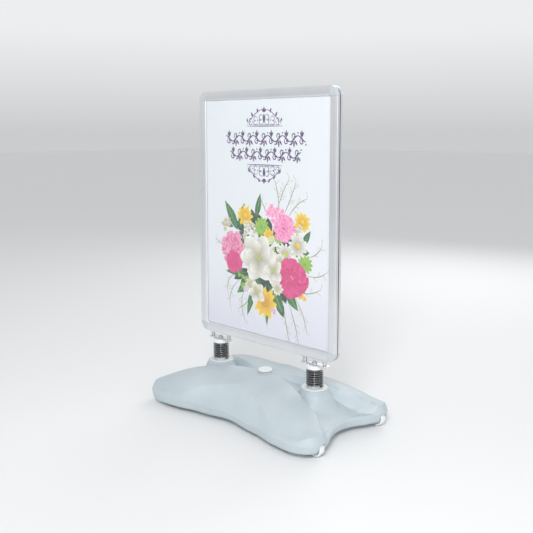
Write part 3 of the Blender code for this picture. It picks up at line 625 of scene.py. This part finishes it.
collar_profile = [
    (BOLT_R, 0.1403), (0.0430, 0.1403), (0.0430, 0.1432), (0.0424, 0.1440), (0.0414, 0.1443),
    (0.0395, 0.1443), (0.0365, 0.1441), (0.0330, 0.1443), (SHANK_R, 0.1443), (SHANK_R, 0.1558),
    (SHANK_R - 0.0005, 0.1563), (BOLT_R, 0.1563), (BOLT_R, 0.1403)]
plug_profile = [
    (BOLT_R, 0.1945), (SHANK_R - 0.0005, 0.1945), (SHANK_R, 0.1950), (SHANK_R, 0.2065),
    (0.0281, 0.2065), (0.0286, 0.2070), (0.0286, 0.2104), (0.0283, 0.2110), (0.0277, 0.2116),
    (0.0280, 0.2124), (0.0286, 0.2130), (0.0286, 0.2172), (0.0281, 0.2182), (0.0270, 0.2190),
    (BOLT_R, 0.2190), (BOLT_R, 0.1945)]
for side, name in ((-1, "left"), (1, "right")):
    x = side * SPRING_X
    collar = lathe(f"{name}_spring_collar", collar_profile, (x, 0.0, 0.0), 96)
    collar_grey.on(collar)
    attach(collar, "base")
    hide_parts(f"{name}_spring_seat")

    bpy.ops.object.select_all(action="DESELECT")
    bpy.ops.mesh.primitive_circle_add(vertices=18, radius=WIRE_R, fill_type="NGON",
                                      rotation=(math.pi / 2, 0.0, 0.0),
                                      location=(COIL_R, 0.0, SPRING_LOW + WIRE_SPACE_R))
    coil = named(f"{name}_coil")
    wind = coil.modifiers.new("Wind", "SCREW")
    wind.axis = "Z"
    wind.angle = 2 * math.pi
    wind.screw_offset = (SPRING_HIGH - SPRING_LOW - 2 * WIRE_SPACE_R) / SPRING_TURNS
    wind.iterations = SPRING_TURNS
    wind.steps = 48
    wind.render_steps = 48
    bpy.ops.object.modifier_apply(modifier=wind.name)
    coil.location = (x, 0.0, 0.0)
    settle(coil, 60.0)
    edit("SELECT")
    bpy.ops.mesh.remove_doubles(threshold=0.00002)
    bpy.ops.mesh.select_all(action="DESELECT")
    bpy.ops.mesh.select_non_manifold()
    bpy.ops.mesh.fill()
    bpy.ops.mesh.select_all(action="SELECT")
    bpy.ops.mesh.normals_make_consistent(inside=False)
    bpy.ops.object.mode_set(mode="OBJECT")
    black_coat.on(coil)
    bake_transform(coil)
    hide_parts(f"{name}_spring")

    plug = lathe(f"{name}_plug_moulding", plug_profile, (x, 0.0, 0.0), 80)
    white.on(plug)
    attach(plug, "sign_panel")
    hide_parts(f"{name}_spring_plug")

    zinc.on(nodes[f"{name}_lower_bolt"], nodes[f"{name}_upper_bolt"])
    brass.on(nodes[f"{name}_spring_insert"])
    low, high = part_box(f"{name}_spring_nut")
    nut = hexagon_nut(f"{name}_lock_nut", 0.0084, high.z - low.z, (x, 0.0, low.z))
    zinc.on(nut)
    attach(nut, "sign_panel")
    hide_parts(f"{name}_spring_nut")

# ---- Brackets -------------------------------------------------------------------------------
# Pairs of round-ended plates in bright zinc-plated steel, pressed flat with eased edges. The
# lower plate sits on the spring's plug; the upper one bears on the panel's bottom rail, on
# sleeves over the clamp bolts.
plate_steel = Finish("bracket_steel", Metallic=1.0)
plate_steel.mottle(90.0, 4.0, (0.30, (0.68, 0.69, 0.71)), (0.72, (0.86, 0.87, 0.87)))
plate_lines = plate_steel.noise(60.0, 2.0, plate_steel.stretched((1.0, 30.0, 30.0)))
plate_steel.set(Roughness=0.20 + plate_lines * 0.18)
plate_steel.bump(plate_lines, 0.10, 0.0002)
PLATE_LENGTH = 0.112
CLAMP_X = 0.042
CLAMP_HOLE_R = 0.0034


def round_ended(name, radius, reach, depth, middle, vertices):
    """A disc whose halves are pulled apart along X, by reach each."""
    piece = cylinder(name, radius, depth, middle, vertices)
    for vertex in piece.data.vertices:
        off = vertex.co.x - middle[0]
        if abs(off) > 1e-5:
            vertex.co.x += math.copysign(reach, off)
    return piece


def bracket_plate(name, width, low, high, place_x, holes):
    """A round-ended plate, its rims eased, then drilled."""
    z = (low + high) / 2
    plate = round_ended(name, width / 2, (PLATE_LENGTH - width) / 2, high - low, (0.0, 0.0, z), 48)
    ease_edges(plate, lambda a, b: abs(a - b) < 1e-6, 0.0004, 2)
    drills = [round_ended("drill", radius, reach, 0.02, (hole_x, 0.0, z), 32)
              for hole_x, radius, reach in holes]
    combine(plate, drills, "DIFFERENCE")
    plate.location.x = place_x
    return settle(plate, 30.0)


def sleeve_profile(low, high):
    return [(CLAMP_HOLE_R, low), (0.0066, low), (0.0070, low + 0.0004), (0.0070, high - 0.0004),
            (0.0066, high), (CLAMP_HOLE_R, high), (CLAMP_HOLE_R, low)]


def bolt_profile(low, high):
    return [(0.0, low + 0.0012), (0.0018, low + 0.0012), (0.0022, low), (0.0040, low + 0.0002),
            (0.0052, low + 0.0013), (0.0055, low + 0.0028), (0.0055, low + 0.0042),
            (0.0052, low + 0.0045), (0.0030, low + 0.0045), (0.0030, high - 0.0006),
            (0.0024, high), (0.0, high)]


clamp_holes = [(-CLAMP_X, CLAMP_HOLE_R, 0.0), (CLAMP_X, CLAMP_HOLE_R, 0.0)]
for side, name in ((-1, "left"), (1, "right")):
    x = side * SPRING_X
    low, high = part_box(f"{name}_lower_plate")
    lower = bracket_plate(f"{name}_lower_bracket", 0.032, low.z, high.z, x,
                          clamp_holes + [(0.0, BOLT_R, 0.0)])
    plate_steel.on(lower)
    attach(lower, "sign_panel")
    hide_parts(f"{name}_lower_plate")
    low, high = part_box(f"{name}_upper_plate")
    upper = bracket_plate(f"{name}_upper_bracket", 0.020, low.z, high.z, x,
                          clamp_holes + [(0.0, 0.006, 0.011)])
    plate_steel.on(upper)
    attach(upper, "sign_panel")
    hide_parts(f"{name}_upper_plate")
    for end in ("outer", "inner"):
        for kind, profile in (("sleeve", sleeve_profile), ("bolt", bolt_profile)):
            node = f"{name}_bracket_{end}_{kind}"
            low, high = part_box(node)
            place = ((low.x + high.x) / 2, 0.0, 0.0)
            turned = lathe(f"{node}_turned", profile(low.z, high.z), place, 32)
            zinc.on(turned)
            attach(turned, "sign_panel")
            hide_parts(node)

# ---- Frame rails, lids and corners ----------------------------------------------------------
# Anodised aluminium extrusions: a core rail on each edge, and over each face a crowned lid that
# snaps shut on the poster and hinges at the panel's outer corner. Quarter-round corners are
# moulded in silver plastic, with a groove round the middle that lines up with the rails'.
# The dark strip in the grooves of the rails and the corners is painted shade.
PANEL_HALF_W = 0.319
PANEL_LOW = 0.242
PANEL_HIGH = 1.127
LID_WALL = 0.0016 * 0.7
GROOVE_SHADE_HALF = 0.0019  # half the width of the painted shade along the groove round the edge
PANEL_MIDDLE = Vector((0.0, 0.0, (PANEL_LOW + PANEL_HIGH) / 2))


def aluminium(name, along):
    """Satin silver anodising, with the fine drawing lines that run along an extrusion, and painted
    shade in the groove round the edge.
    """
    made = Finish(name, Metallic=1.0)
    stretch = (0.35, 14.0, 14.0) if along == "X" else (14.0, 14.0, 0.35)
    lines = made.noise(90.0, 2.0, made.stretched(stretch))
    tone = made.noise(6.0, 3.0)
    bright = made.ramp(tone, (0.30, (0.80, 0.82, 0.845)), (0.72, (0.87, 0.88, 0.90)))
    # The groove round the edge is painted dark: painted shade in the recess.
    made.set(Base_Color=made.blend(made.seam(), bright, (0.10, 0.085, 0.12)))
    made.set(Roughness=0.24 + lines * 0.16)
    return made.bump(lines, 0.10, 0.0003)


anodised = {"X": aluminium("anodised_across", "X"), "Z": aluminium("anodised_upright", "Z")}
# A lid's section: how far in from the panel's edge, and how far out from LID_DEPTH_ZERO
lid_curve = [(0.0002, -0.0002), (0.0002, 0.0016), (0.0004, 0.0024), (0.0009, 0.0030),
             (0.0016, 0.0033), (0.0026, 0.0034), (0.0048, 0.0034), (0.0052, 0.0031),
             (0.0056, 0.0031), (0.0060, 0.0034), (0.0100, 0.0034), (0.0140, 0.0034),
             (0.0180, 0.0033), (0.0212, 0.0031), (0.0216, 0.0028), (0.0220, 0.0028),
             (0.0224, 0.0030), (0.0250, 0.0027), (0.0275, 0.0021), (0.0295, 0.0012),
             (0.0308, 0.0002), (0.0316, -0.0010), (0.0320, -0.0024), (0.0320, -0.0032)]
LID_DEPTH_ZERO = 0.0106  # from the panel's mid-plane

for edge, along, inward in (("left", "Z", (1, 0, 0)), ("right", "Z", (-1, 0, 0)),
                            ("bottom", "X", (0, 0, 1)), ("top", "X", (0, 0, -1))):
    anodised[along].on(nodes[f"{edge}_rail"])
    inward = Vector(inward)
    length_axis = Vector((1, 0, 0)) if along == "X" else Vector((0, 0, 1))
    reach = PANEL_HALF_W if along == "Z" else (PANEL_HIGH - PANEL_LOW) / 2
    outer = PANEL_MIDDLE - inward * reach
    for face, sign in (("front", -1), ("rear", 1)):
        node = f"{face}_{edge}_lid"
        low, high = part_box(node)
        length = (high - low).dot(length_axis)
        bpy.ops.object.select_all(action="DESELECT")
        bpy.ops.mesh.primitive_grid_add(x_subdivisions=len(lid_curve) - 1, y_subdivisions=4,
                                        size=1.0)
        lid = named(f"{node}_extrusion")
        columns = sorted({round(vertex.co.x, 5) for vertex in lid.data.vertices})
        for vertex in lid.data.vertices:
            s, depth = lid_curve[columns.index(round(vertex.co.x, 5))]
            place = outer + inward * s + length_axis * vertex.co.y * length
            place.y = sign * (LID_DEPTH_ZERO + depth)
            vertex.co = place
        lid.data.update()
        if sum(polygon.normal.y * sign for polygon in lid.data.polygons) < 0:
            lid.data.flip_normals()
        wall = lid.modifiers.new("Wall", "SOLIDIFY")
        wall.thickness = LID_WALL
        wall.offset = -1.0
        bpy.ops.object.modifier_apply(modifier=wall.name)
        settle(lid, 22.0)
        anodised[along].on(lid)
        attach(lid, node)
        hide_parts(node)

silver = Finish("silver_plastic", Metallic=0.45, Roughness=0.32)
silver_fleck = silver.noise(1400.0, 2.0)
shine = silver.ramp(silver_fleck, (0.35, (0.58, 0.63, 0.67)), (0.68, (0.68, 0.715, 0.75)))
# The groove round the corner's middle is painted dark: painted shade in the recess.
silver.set(Base_Color=silver.blend(silver.seam(), shine, (0.16, 0.15, 0.18)))
silver.bump(silver.noise(500.0, 2.0), 0.12, 0.0003)
for end in ("top", "bottom"):
    for side in ("left", "right"):
        silver.on(nodes[f"{end}_{side}_corner"])

# ---- Posters --------------------------------------------------------------------------------
# An A1 sheet of coated paper on each side, printed with a round bouquet under a heading of
# purple scrollwork. Every petal, leaf and stroke is a shape in the sheet's own surface, and
# carries its ink as a colour on the mesh.
draw = random.Random(23)
shapes = []  # (outline, ink at a point) in millimetres from the panel's middle, the last on top

WHITE, IVORY, SHADE = (0.95, 0.94, 0.90), (0.86, 0.80, 0.66), (0.30, 0.29, 0.20)
DEEP_PINK, PINK, PALE_PINK = (0.56, 0.004, 0.12), (0.80, 0.10, 0.36), (0.92, 0.60, 0.76)
YELLOW, GOLD = (0.94, 0.72, 0.02), (0.62, 0.28, 0.01)
FOREST, LEAF = (0.004, 0.018, 0.014), (0.012, 0.15, 0.035)
SPRING_GREEN, LIME = (0.11, 0.34, 0.03), (0.42, 0.60, 0.08)
PURPLE, PLUM = (0.045, 0.012, 0.125), (0.15, 0.045, 0.20)
TWIG, LILAC = (0.26, 0.24, 0.08), (0.44, 0.28, 0.58)


def tint(first, second, share):
    share = min(max(share, 0.0), 1.0)
    return tuple(a + (b - a) * share for a, b in zip(first, second))


def around(x, z, away, angle):
    return (x + away * math.cos(angle), z + away * math.sin(angle))


def blade(x, z, turn, length, width, root, tip, bulge=0.6, blunt=1.0, bend=0.0, fold=0.0, steps=4):
    """A petal or leaf from its root: widest at bulge of its length, darker on one side by fold."""
    turn = math.radians(turn)
    c, s = math.cos(turn), math.sin(turn)
    power = math.log(0.5) / math.log(bulge)

    def half(t):
        return width / 2 * max(0.0, math.sin(math.pi * min(max(t, 0.0), 1.0) ** power)) ** blunt

    def place(t, side):
        u, v = t * length, side * half(t) + bend * length * t * t
        return (x + u * c - v * s, z + u * s + v * c)

    def ink(px, pz):
        u, v = (px - x) * c + (pz - z) * s, (pz - z) * c - (px - x) * s
        t = u / length
        side = (v - bend * length * t * t) / (half(t) + 0.2)
        shadow = SHADE if tip in (WHITE, IVORY) else root
        return tint(tint(root, tip, t), shadow, fold * (0.5 + 0.5 * side))

    inner = [k / (steps + 1) for k in range(1, steps + 1)]
    inner[-1] = 0.93 if blunt < 1.0 else inner[-1]
    outline = [place(0.0, 0)] + [place(t, -1) for t in inner] + [place(1.0, 0)]
    shapes.append((outline + [place(t, 1) for t in reversed(inner)], ink))


def disc(x, z, radius, root, tip, sides=9):
    start = draw.random() * 6.28
    outline = [around(x, z, radius, start + 6.2832 * k / sides) for k in range(sides)]

    def ink(px, pz):
        return tint(root, tip, 0.5 + (pz - z + px - x) / (2.6 * radius))

    shapes.append((outline, ink))


def stroke(path, width, root, tip=None):
    """A line of ink along a path, thinning to its two ends."""
    left, right = [], []
    for k, (x, z) in enumerate(path):
        before, after = path[max(k - 1, 0)], path[min(k + 1, len(path) - 1)]
        dx, dz = after[0] - before[0], after[1] - before[1]
        away = math.hypot(dx, dz)
        wide = width / 2 * (0.25 + 0.75 * math.sin(math.pi * (k + 0.6) / (len(path) + 0.2)))
        left.append((x - dz / away * wide, z + dx / away * wide))
        right.append((x + dz / away * wide, z - dx / away * wide))

    def ink(px, pz):
        return tint(root, tip or root, (pz - path[0][1]) / 60.0)

    shapes.append((left + right[::-1], ink))


def curl(x, z, radius, start, sweep, width):
    """A scroll: an arc that winds in to a bead."""
    path = [around(x, z, radius * (1.0 - 0.75 * t), math.radians(start + sweep * t))
            for t in (k / 10 for k in range(11))]
    stroke(path, width, PURPLE)
    disc(*path[-1], width * 0.75, PURPLE, PURPLE, 8)


def carnation(x, z, radius, inner, outer, squash=1.0):
    for ring in range(6):
        reach = radius * (1.0 - 0.155 * ring)
        count = 13 - ring
        for k in range(count):
            turn = 360.0 * (k + 0.5 * (ring % 2)) / count + draw.uniform(-9, 9)
            far = reach * draw.uniform(0.86, 1.06)
            root = 0.42 * far
            a = math.radians(turn)
            for spread in (-1, 0, 1):
                ink = tint(outer, inner, 0.10 * ring + draw.uniform(-0.5, 0.6))
                blade(x + squash * root * math.cos(a), z + root * math.sin(a),
                      turn + spread * 19.0, far - root, 0.30 * radius, inner, ink,
                      0.74, 0.6, fold=0.85, steps=3)
    for k in range(7):
        blade(x + draw.uniform(-3, 3), z + draw.uniform(-3, 3), k * 51, radius * 0.26,
              radius * 0.17, inner, tint(outer, inner, 0.35), 0.7, 0.6, fold=0.4, steps=3)


def daisy(x, z, radius, petals, ink, shade, heart, heart_size=0.24):
    for k in range(petals):
        turn = 360.0 * k / petals + draw.uniform(-6, 6)
        blade(x, z, turn, radius * draw.uniform(0.88, 1.05), 5.0 * radius / petals, shade, ink,
              0.66, 0.8, fold=0.3)
    disc(x, z, radius * heart_size, GOLD if heart is YELLOW else heart, heart, 12)
    for k in range(6):
        disc(*around(x, z, heart_size * radius * 0.5, k * 1.047), radius * 0.05, GOLD, YELLOW, 5)


def button(x, z, radius):
    for ring in range(4):
        count = 12 - 2 * ring
        for k in range(count):
            blade(x, z, 360.0 * (k + 0.5 * (ring % 2)) / count, radius * (1.0 - 0.22 * ring),
                  radius * 0.46, SPRING_GREEN, tint(LIME, SPRING_GREEN, draw.uniform(0.0, 0.5)),
                  0.72, 0.6, fold=0.3, steps=3)


def lily(x, z, radius, turn, petals=6):
    for ring, count in ((1.0, petals), (0.74, petals - 1)):
        for k in range(count):
            angle = turn + 360.0 * (k + 0.5 * (ring < 1)) / count + draw.uniform(-7, 7)
            blade(x, z, angle, radius * ring * draw.uniform(0.94, 1.06), radius * 0.74 * ring,
                  SHADE, WHITE, 0.62, 0.62, draw.uniform(-0.08, 0.08), 0.34, 6)
            blade(x, z, angle, radius * ring * 0.80, radius * 0.10, SHADE, IVORY, 0.5, 1.0, steps=3)
    for k in range(6):
        stroke([(x, z), around(x, z + 3, 6, k), around(x, z + 8, 13, k)], 2.2, LIME)
        disc(*around(x, z + 9, 14, k), 2.6, GOLD, YELLOW, 7)


def leaf(x, z, turn, length, width, root, tip, bend=0.0):
    blade(x, z, turn, length, width, root, tip, 0.45, 1.0, bend, 0.5, 6)
    vein = tint(tip, WHITE, 0.25)
    blade(x, z, turn, length * 0.94, width * 0.10, tip, vein, 0.4, 1.0, bend, steps=5)


def florets(x, z, spread, count, size, root, tip, tall=1.0):
    for k in range(count):
        away, a = spread * math.sqrt(draw.random()), draw.uniform(0, 6.28)
        cx, cz = x + away * math.cos(a), z + tall * away * math.sin(a)
        turn = draw.uniform(0, 72)
        for petal in range(5):
            blade(cx, cz, turn + 72 * petal, size * draw.uniform(0.8, 1.1), size * 0.72, root, tip,
                  0.68, 0.6, fold=0.25, steps=3)
        disc(cx, cz, size * 0.16, YELLOW, root, 6)


def twig(x, z, turn, length, curve, buds, ink, bud):
    path, a = [(x, z)], math.radians(turn)
    for k in range(9):
        a += math.radians(curve) / 9
        path.append(around(*path[-1], length / 9, a))
    stroke(path, 3.0, ink)
    for k in range(buds):
        px, pz = path[3 + (k * 2) % 7]
        side = 1 if k % 2 else -1
        direction = turn + curve * 0.6 + side * draw.uniform(35, 70)
        reach = draw.uniform(9, 17)
        a = math.radians(direction)
        stroke([(px, pz), around(px, pz, reach / 2, a), around(px, pz, reach, a)], 1.3, ink)
        blade(*around(px, pz, reach, a), direction, 8, 4.4, ink, bud, 0.6, 0.7, steps=3)


# The heading: two rows of running scrolls between an arched crest and its mirror image.
def crest(z, up):
    """Curls and leaves over a double line, standing up or hanging down."""
    def at(x, dz):
        return (x, z + up * dz)

    stroke([at(-84 + 16.8 * k, 0.0) for k in range(11)], 3.4, PURPLE)
    stroke([at(-74 + 14.8 * k, 5.0) for k in range(11)], 1.6, PLUM)
    for side in (-1, 1):
        for start, radius, cx, dz in ((200, 15, 15, 17), (190, 13, 41, 14), (180, 9, 64, 11)):
            for turn in (1, -1):
                path = []
                for k in range(11):
                    a = math.radians(start * turn + 300 * turn * k / 10)
                    r = radius * (1.0 - 0.68 * k / 10)
                    lift = dz if turn > 0 else dz + 9
                    path.append(at(side * (cx + r * math.cos(a) * 0.8), lift + r * math.sin(a)))
                stroke(path, 2.8, PURPLE)
        arch = [at(side * (80 - 7.6 * k), 6 + 50 * math.sin(k * 0.157)) for k in range(11)]
        stroke(arch, 3.0, PURPLE)
        for x, dz, lean, length, width in ((76, 12, -18, 17, 7), (52, 30, -26, 20, 8),
                                           (27, 45, -22, 17, 8)):
            blade(*at(side * x, dz), 90 * up + side * lean, length, width, PLUM, PURPLE, 0.5)
        disc(*at(side * 30, 20), 2.6, PURPLE, PURPLE, 8)
        disc(*at(side * 54, 14), 2.2, PURPLE, PURPLE, 8)
    blade(*at(0, 8), 90 * up, 34, 13, PLUM, PURPLE, 0.5)
    blade(*at(0, 46), 90 * up, 20, 10, PURPLE, PLUM, 0.4)
    for side in (-1, 1):
        blade(*at(0, 46), 90 * up + side * 38, 16, 7, PURPLE, PLUM, 0.5)


def scroll_row(z, half, high, count):
    """A waving stem with a curl in each bend, and pairs of leaves on its shoulders."""
    step = 2 * half / count
    stem = [(-half + 2 * half * k / (8 * count), z + high * 0.20 * math.cos(math.pi * k / 8))
            for k in range(8 * count + 1)]
    for k in range(count):
        stroke(stem[8 * k:8 * k + 10], 5.4, PURPLE, PLUM)
        x, up = -half + step * (k + 0.5), 1 if k % 2 else -1
        curl(x, z + up * high * 0.20, step * 0.34, -90 * up, -up * 330, 4.2)
        for lean in (-32, 0, 32):
            blade(x + 0.09 * lean, z - up * high * 0.08, -up * 90 + lean,
                  high * (0.44 if lean else 0.52), 7.5, PURPLE, PLUM, 0.5)
        disc(x + step * 0.5, z + up * high * 0.38, 3.0, PURPLE, PURPLE, 8)


crest(318, 1)
scroll_row(276, 186, 50, 11)
scroll_row(222, 166, 46, 10)
crest(186, -1)

# The bouquet: twigs and dark foliage behind, then leaves, then blooms from the rim inwards.
for x, z, turn, length, curve, buds in (
    (60, 30, 74, 130, -18, 7), (90, 20, 58, 130, 12, 7), (110, 10, 66, 115, -46, 6),
    (70, 40, 92, 110, 20, 5), (-120, -230, 205, 120, 70, 5), (-90, -250, 232, 130, 66, 5),
    (-60, -270, 246, 95, -40, 4), (-140, -210, 190, 90, 88, 4), (110, -270, -62, 150, -16, 7),
    (90, -280, -84, 140, 12, 7), (140, -250, -48, 130, -30, 6), (190, -170, -20, 95, 60, 4),
    (200, -110, 4, 75, 62, 4), (150, -230, -16, 110, 50, 4), (-190, -110, 176, 60, -30, 3),
    (10, 20, 110, 60, 16, 3),
):
    twig(x, z, turn, length, curve, buds,
         tint(TWIG, SPRING_GREEN, 0.5 if z < -200 and x < 0 else 0.0),
         tint(IVORY, PALE_PINK, 0.4 if z > 0 else 0.0))
for k in range(64):
    turn = 360.0 * k / 64 + draw.uniform(-8, 8)
    away = draw.uniform(10, 125)
    a = math.radians(turn)
    blade(10 + away * math.cos(a), -135 + away * 1.1 * math.sin(a), turn + draw.uniform(-30, 30),
          draw.uniform(55, 85), draw.uniform(24, 38), FOREST,
          tint(FOREST, LEAF, draw.uniform(0.1, 0.8)), 0.5, fold=0.4)
for x, z, turn, length, width, bend in (
    (-130, -50, 116, 120, 36, 0.10), (-115, -40, 84, 92, 32, -0.12), (-40, 0, 72, 92, 26, 0.06),
    (-150, -40, 160, 66, 20, 0.2), (-120, -190, 148, 110, 44, -0.16),
    (-90, -200, 176, 100, 30, 0.12), (-60, -225, -150, 90, 34, 0.1),
    (-40, -240, -118, 120, 28, 0.14), (30, -215, -64, 120, 52, 0.06),
    (0, -250, -76, 125, 24, -0.14), (120, -30, 24, 90, 30, 0.1), (170, -70, 40, 60, 24, 0.2),
    (-60, -110, 140, 70, 34, 0.1), (100, -240, -40, 80, 34, -0.1), (-30, -190, -100, 70, 34, 0.1),
):
    leaf(x, z, turn, length, width, tint(LEAF, FOREST, draw.uniform(0.0, 0.5)),
         tint(LEAF, SPRING_GREEN, draw.uniform(0.1, 0.7)), bend)
florets(60, 22, 46, 24, 13, PINK, PALE_PINK, 0.62)
daisy(-92, 4, 40, 11, YELLOW, GOLD, YELLOW)
daisy(172, 2, 38, 11, YELLOW, GOLD, YELLOW)
florets(-70, -60, 34, 17, 13, SHADE, WHITE, 1.3)
florets(150, -40, 30, 10, 13, SHADE, WHITE, 1.0)
button(-12, -28, 36)
button(184, -136, 34)
button(70, -60, 22)
daisy(22, -56, 27, 9, YELLOW, GOLD, YELLOW)
carnation(92, -24, 50, PINK, PALE_PINK)
daisy(152, -78, 46, 13, WHITE, SHADE, YELLOW)
florets(38, -96, 30, 15, 10, LIME, IVORY, 1.2)
florets(-188, -34, 22, 7, 12, SHADE, IVORY, 1.0)
carnation(-152, -118, 66, tint(DEEP_PINK, PINK, 0.35), PALE_PINK, 0.8)
carnation(-148, -168, 44, DEEP_PINK, PINK, 0.9)
daisy(98, -112, 42, 13, WHITE, SHADE, LIME)
daisy(74, -142, 33, 12, WHITE, SHADE, LIME)
florets(-96, -226, 30, 12, 10, SPRING_GREEN, LIME, 1.0)
florets(-78, -262, 20, 6, 10, LILAC, WHITE, 1.0)
daisy(-64, -238, 28, 10, IVORY, SHADE, LIME)
florets(176, -238, 16, 5, 10, GOLD, YELLOW, 1.2)
daisy(6, -292, 58, 12, YELLOW, GOLD, GOLD, 0.30)
florets(44, -318, 9, 3, 8, LILAC, PALE_PINK)
lily(-36, -262, 42, 40, 5)
carnation(128, -188, 72, DEEP_PINK, PINK)
daisy(62, -234, 28, 11, WHITE, SHADE, LIME)
lily(-28, -140, 88, 64)
lily(44, -176, 46, -30, 5)

POSTER_HALF_W = 297.0
POSTER_HALF_H = 420.5
border = [(a * POSTER_HALF_W, b * POSTER_HALF_H) for a, b in ((-1, -1), (1, -1), (1, 1), (-1, 1))]
spots, lines = [Vector(corner) for corner in border], [(0, 1), (1, 2), (2, 3), (3, 0)]
for outline, ink in shapes:
    lines += [(len(spots) + k, len(spots) + (k + 1) % len(outline)) for k in range(len(outline))]
    spots += [Vector(point) for point in outline]
spots, _, triangles = delaunay_2d_cdt(spots, lines, [], 0, 1e-4, False)[:3]

# Each triangle is owned by the last shape whose outline its middle lies within.
middles = np.array([[spots[k][:] for k in triangle] for triangle in triangles]).mean(axis=1)
order = np.argsort(middles[:, 0])
across = middles[order, 0]
owner = np.full(len(triangles), -1)
for number, (outline, ink) in enumerate(shapes):
    ring = np.array(outline)
    low, high = ring.min(axis=0), ring.max(axis=0)
    near = order[np.searchsorted(across, low[0]):np.searchsorted(across, high[0])]
    near = near[(middles[near, 1] > low[1]) & (middles[near, 1] < high[1])]
    px, pz = middles[near, 0], middles[near, 1]
    within = np.zeros(len(near), bool)
    for (x0, z0), (x1, z1) in zip(ring, np.roll(ring, -1, axis=0)):
        if z0 != z1:
            within ^= ((z0 > pz) != (z1 > pz)) & (px < x0 + (x1 - x0) * (pz - z0) / (z1 - z0))
    owner[near[within]] = number

POSTER_Y = 0.0060
POSTER_BACK_Y = 0.0056
NO_INK = (1.0, 1.0, 1.0, 0.0)
inks = []
for triangle, number in zip(triangles, owner):
    for index in triangle:
        inks += (*shapes[number][1](*spots[index]), 1.0) if number >= 0 else NO_INK
corners = [min(range(len(spots)), key=lambda k: (spots[k] - Vector(corner)).length)
           for corner in border]

paper = Finish("poster_paper")
# The bare paper is painted darker and bluer towards the bottom of the sheet and paler towards its
# top: painted shade.
height = paper.node("ShaderNodeSeparateXYZ", None, [paper.place()])[2]
painted_shade_by_height = paper.node("ShaderNodeMapRange", None, {"Value": height, "From Min": 0.27, "From Max": 0.85,
                                               "To Min": 0.0, "To Max": 1.0})[0]
paper_and_painted_shade = paper.ramp(painted_shade_by_height, (0.0, (0.690, 0.690, 0.780)), (0.40, (0.750, 0.770, 0.810)),
                  (1.0, (0.735, 0.775, 0.805)))
printed = paper.node("ShaderNodeAttribute", {"attribute_name": "ink"})
paper.set(Base_Color=paper.blend(printed[3], paper_and_painted_shade, printed[0]))
paper.set(Roughness=0.46 + paper.noise(400.0, 2.0) * 0.12)
paper.bump(paper.noise(900.0, 2.0), 0.05, 0.0002)

for face, sign in (("front", -1), ("rear", 1)):
    count = len(spots)
    points = [(-sign * x / 1000, sign * POSTER_Y, PANEL_MIDDLE.z + z / 1000) for x, z in spots]
    points += [(points[k][0], sign * POSTER_BACK_Y, points[k][2]) for k in corners]
    faces = [tuple(triangle) for triangle in triangles]
    for k in range(4):
        after = (k + 1) % 4
        faces.append((corners[k], count + k, count + after, corners[after]))
    faces.append((count + 3, count + 2, count + 1, count))
    sheet_mesh = bpy.data.meshes.new(f"{face}_printed_sheet")
    sheet_mesh.from_pydata(points, [], faces)
    colors = sheet_mesh.color_attributes.new("ink", "FLOAT_COLOR", "CORNER")
    plain = len(sheet_mesh.loops) - len(inks) // 4
    colors.data.foreach_set("color", inks + list(NO_INK) * plain)
    sheet = bpy.data.objects.new(f"{face}_printed_sheet", sheet_mesh)
    in_scene.link(sheet)
    paper.on(sheet)
    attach(sheet, "sign_panel")
    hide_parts(f"{face}_poster")

# ---- Backing board and clear covers ---------------------------------------------------------
# A white foam board fills the middle of the frame. Over each poster lies a clear anti-glare
# sheet, which the lids' lips hold against it.
foam = Finish("foam_board", Roughness=0.85)
foam.mottle(350.0, 3.0, (0.3, (0.74, 0.74, 0.73)), (0.7, (0.84, 0.84, 0.83)))
foam.on(nodes["backing_board"])

clear = Finish("clear_sheet", Roughness=0.30, Alpha=0.05, IOR=1.49)
clear.mottle(12.0, 3.0, (0.3, (0.93, 0.95, 0.97)), (0.7, (0.97, 0.98, 0.99)))
for face in ("front", "rear"):
    clear.on(nodes[f"{face}_clear_cover"])
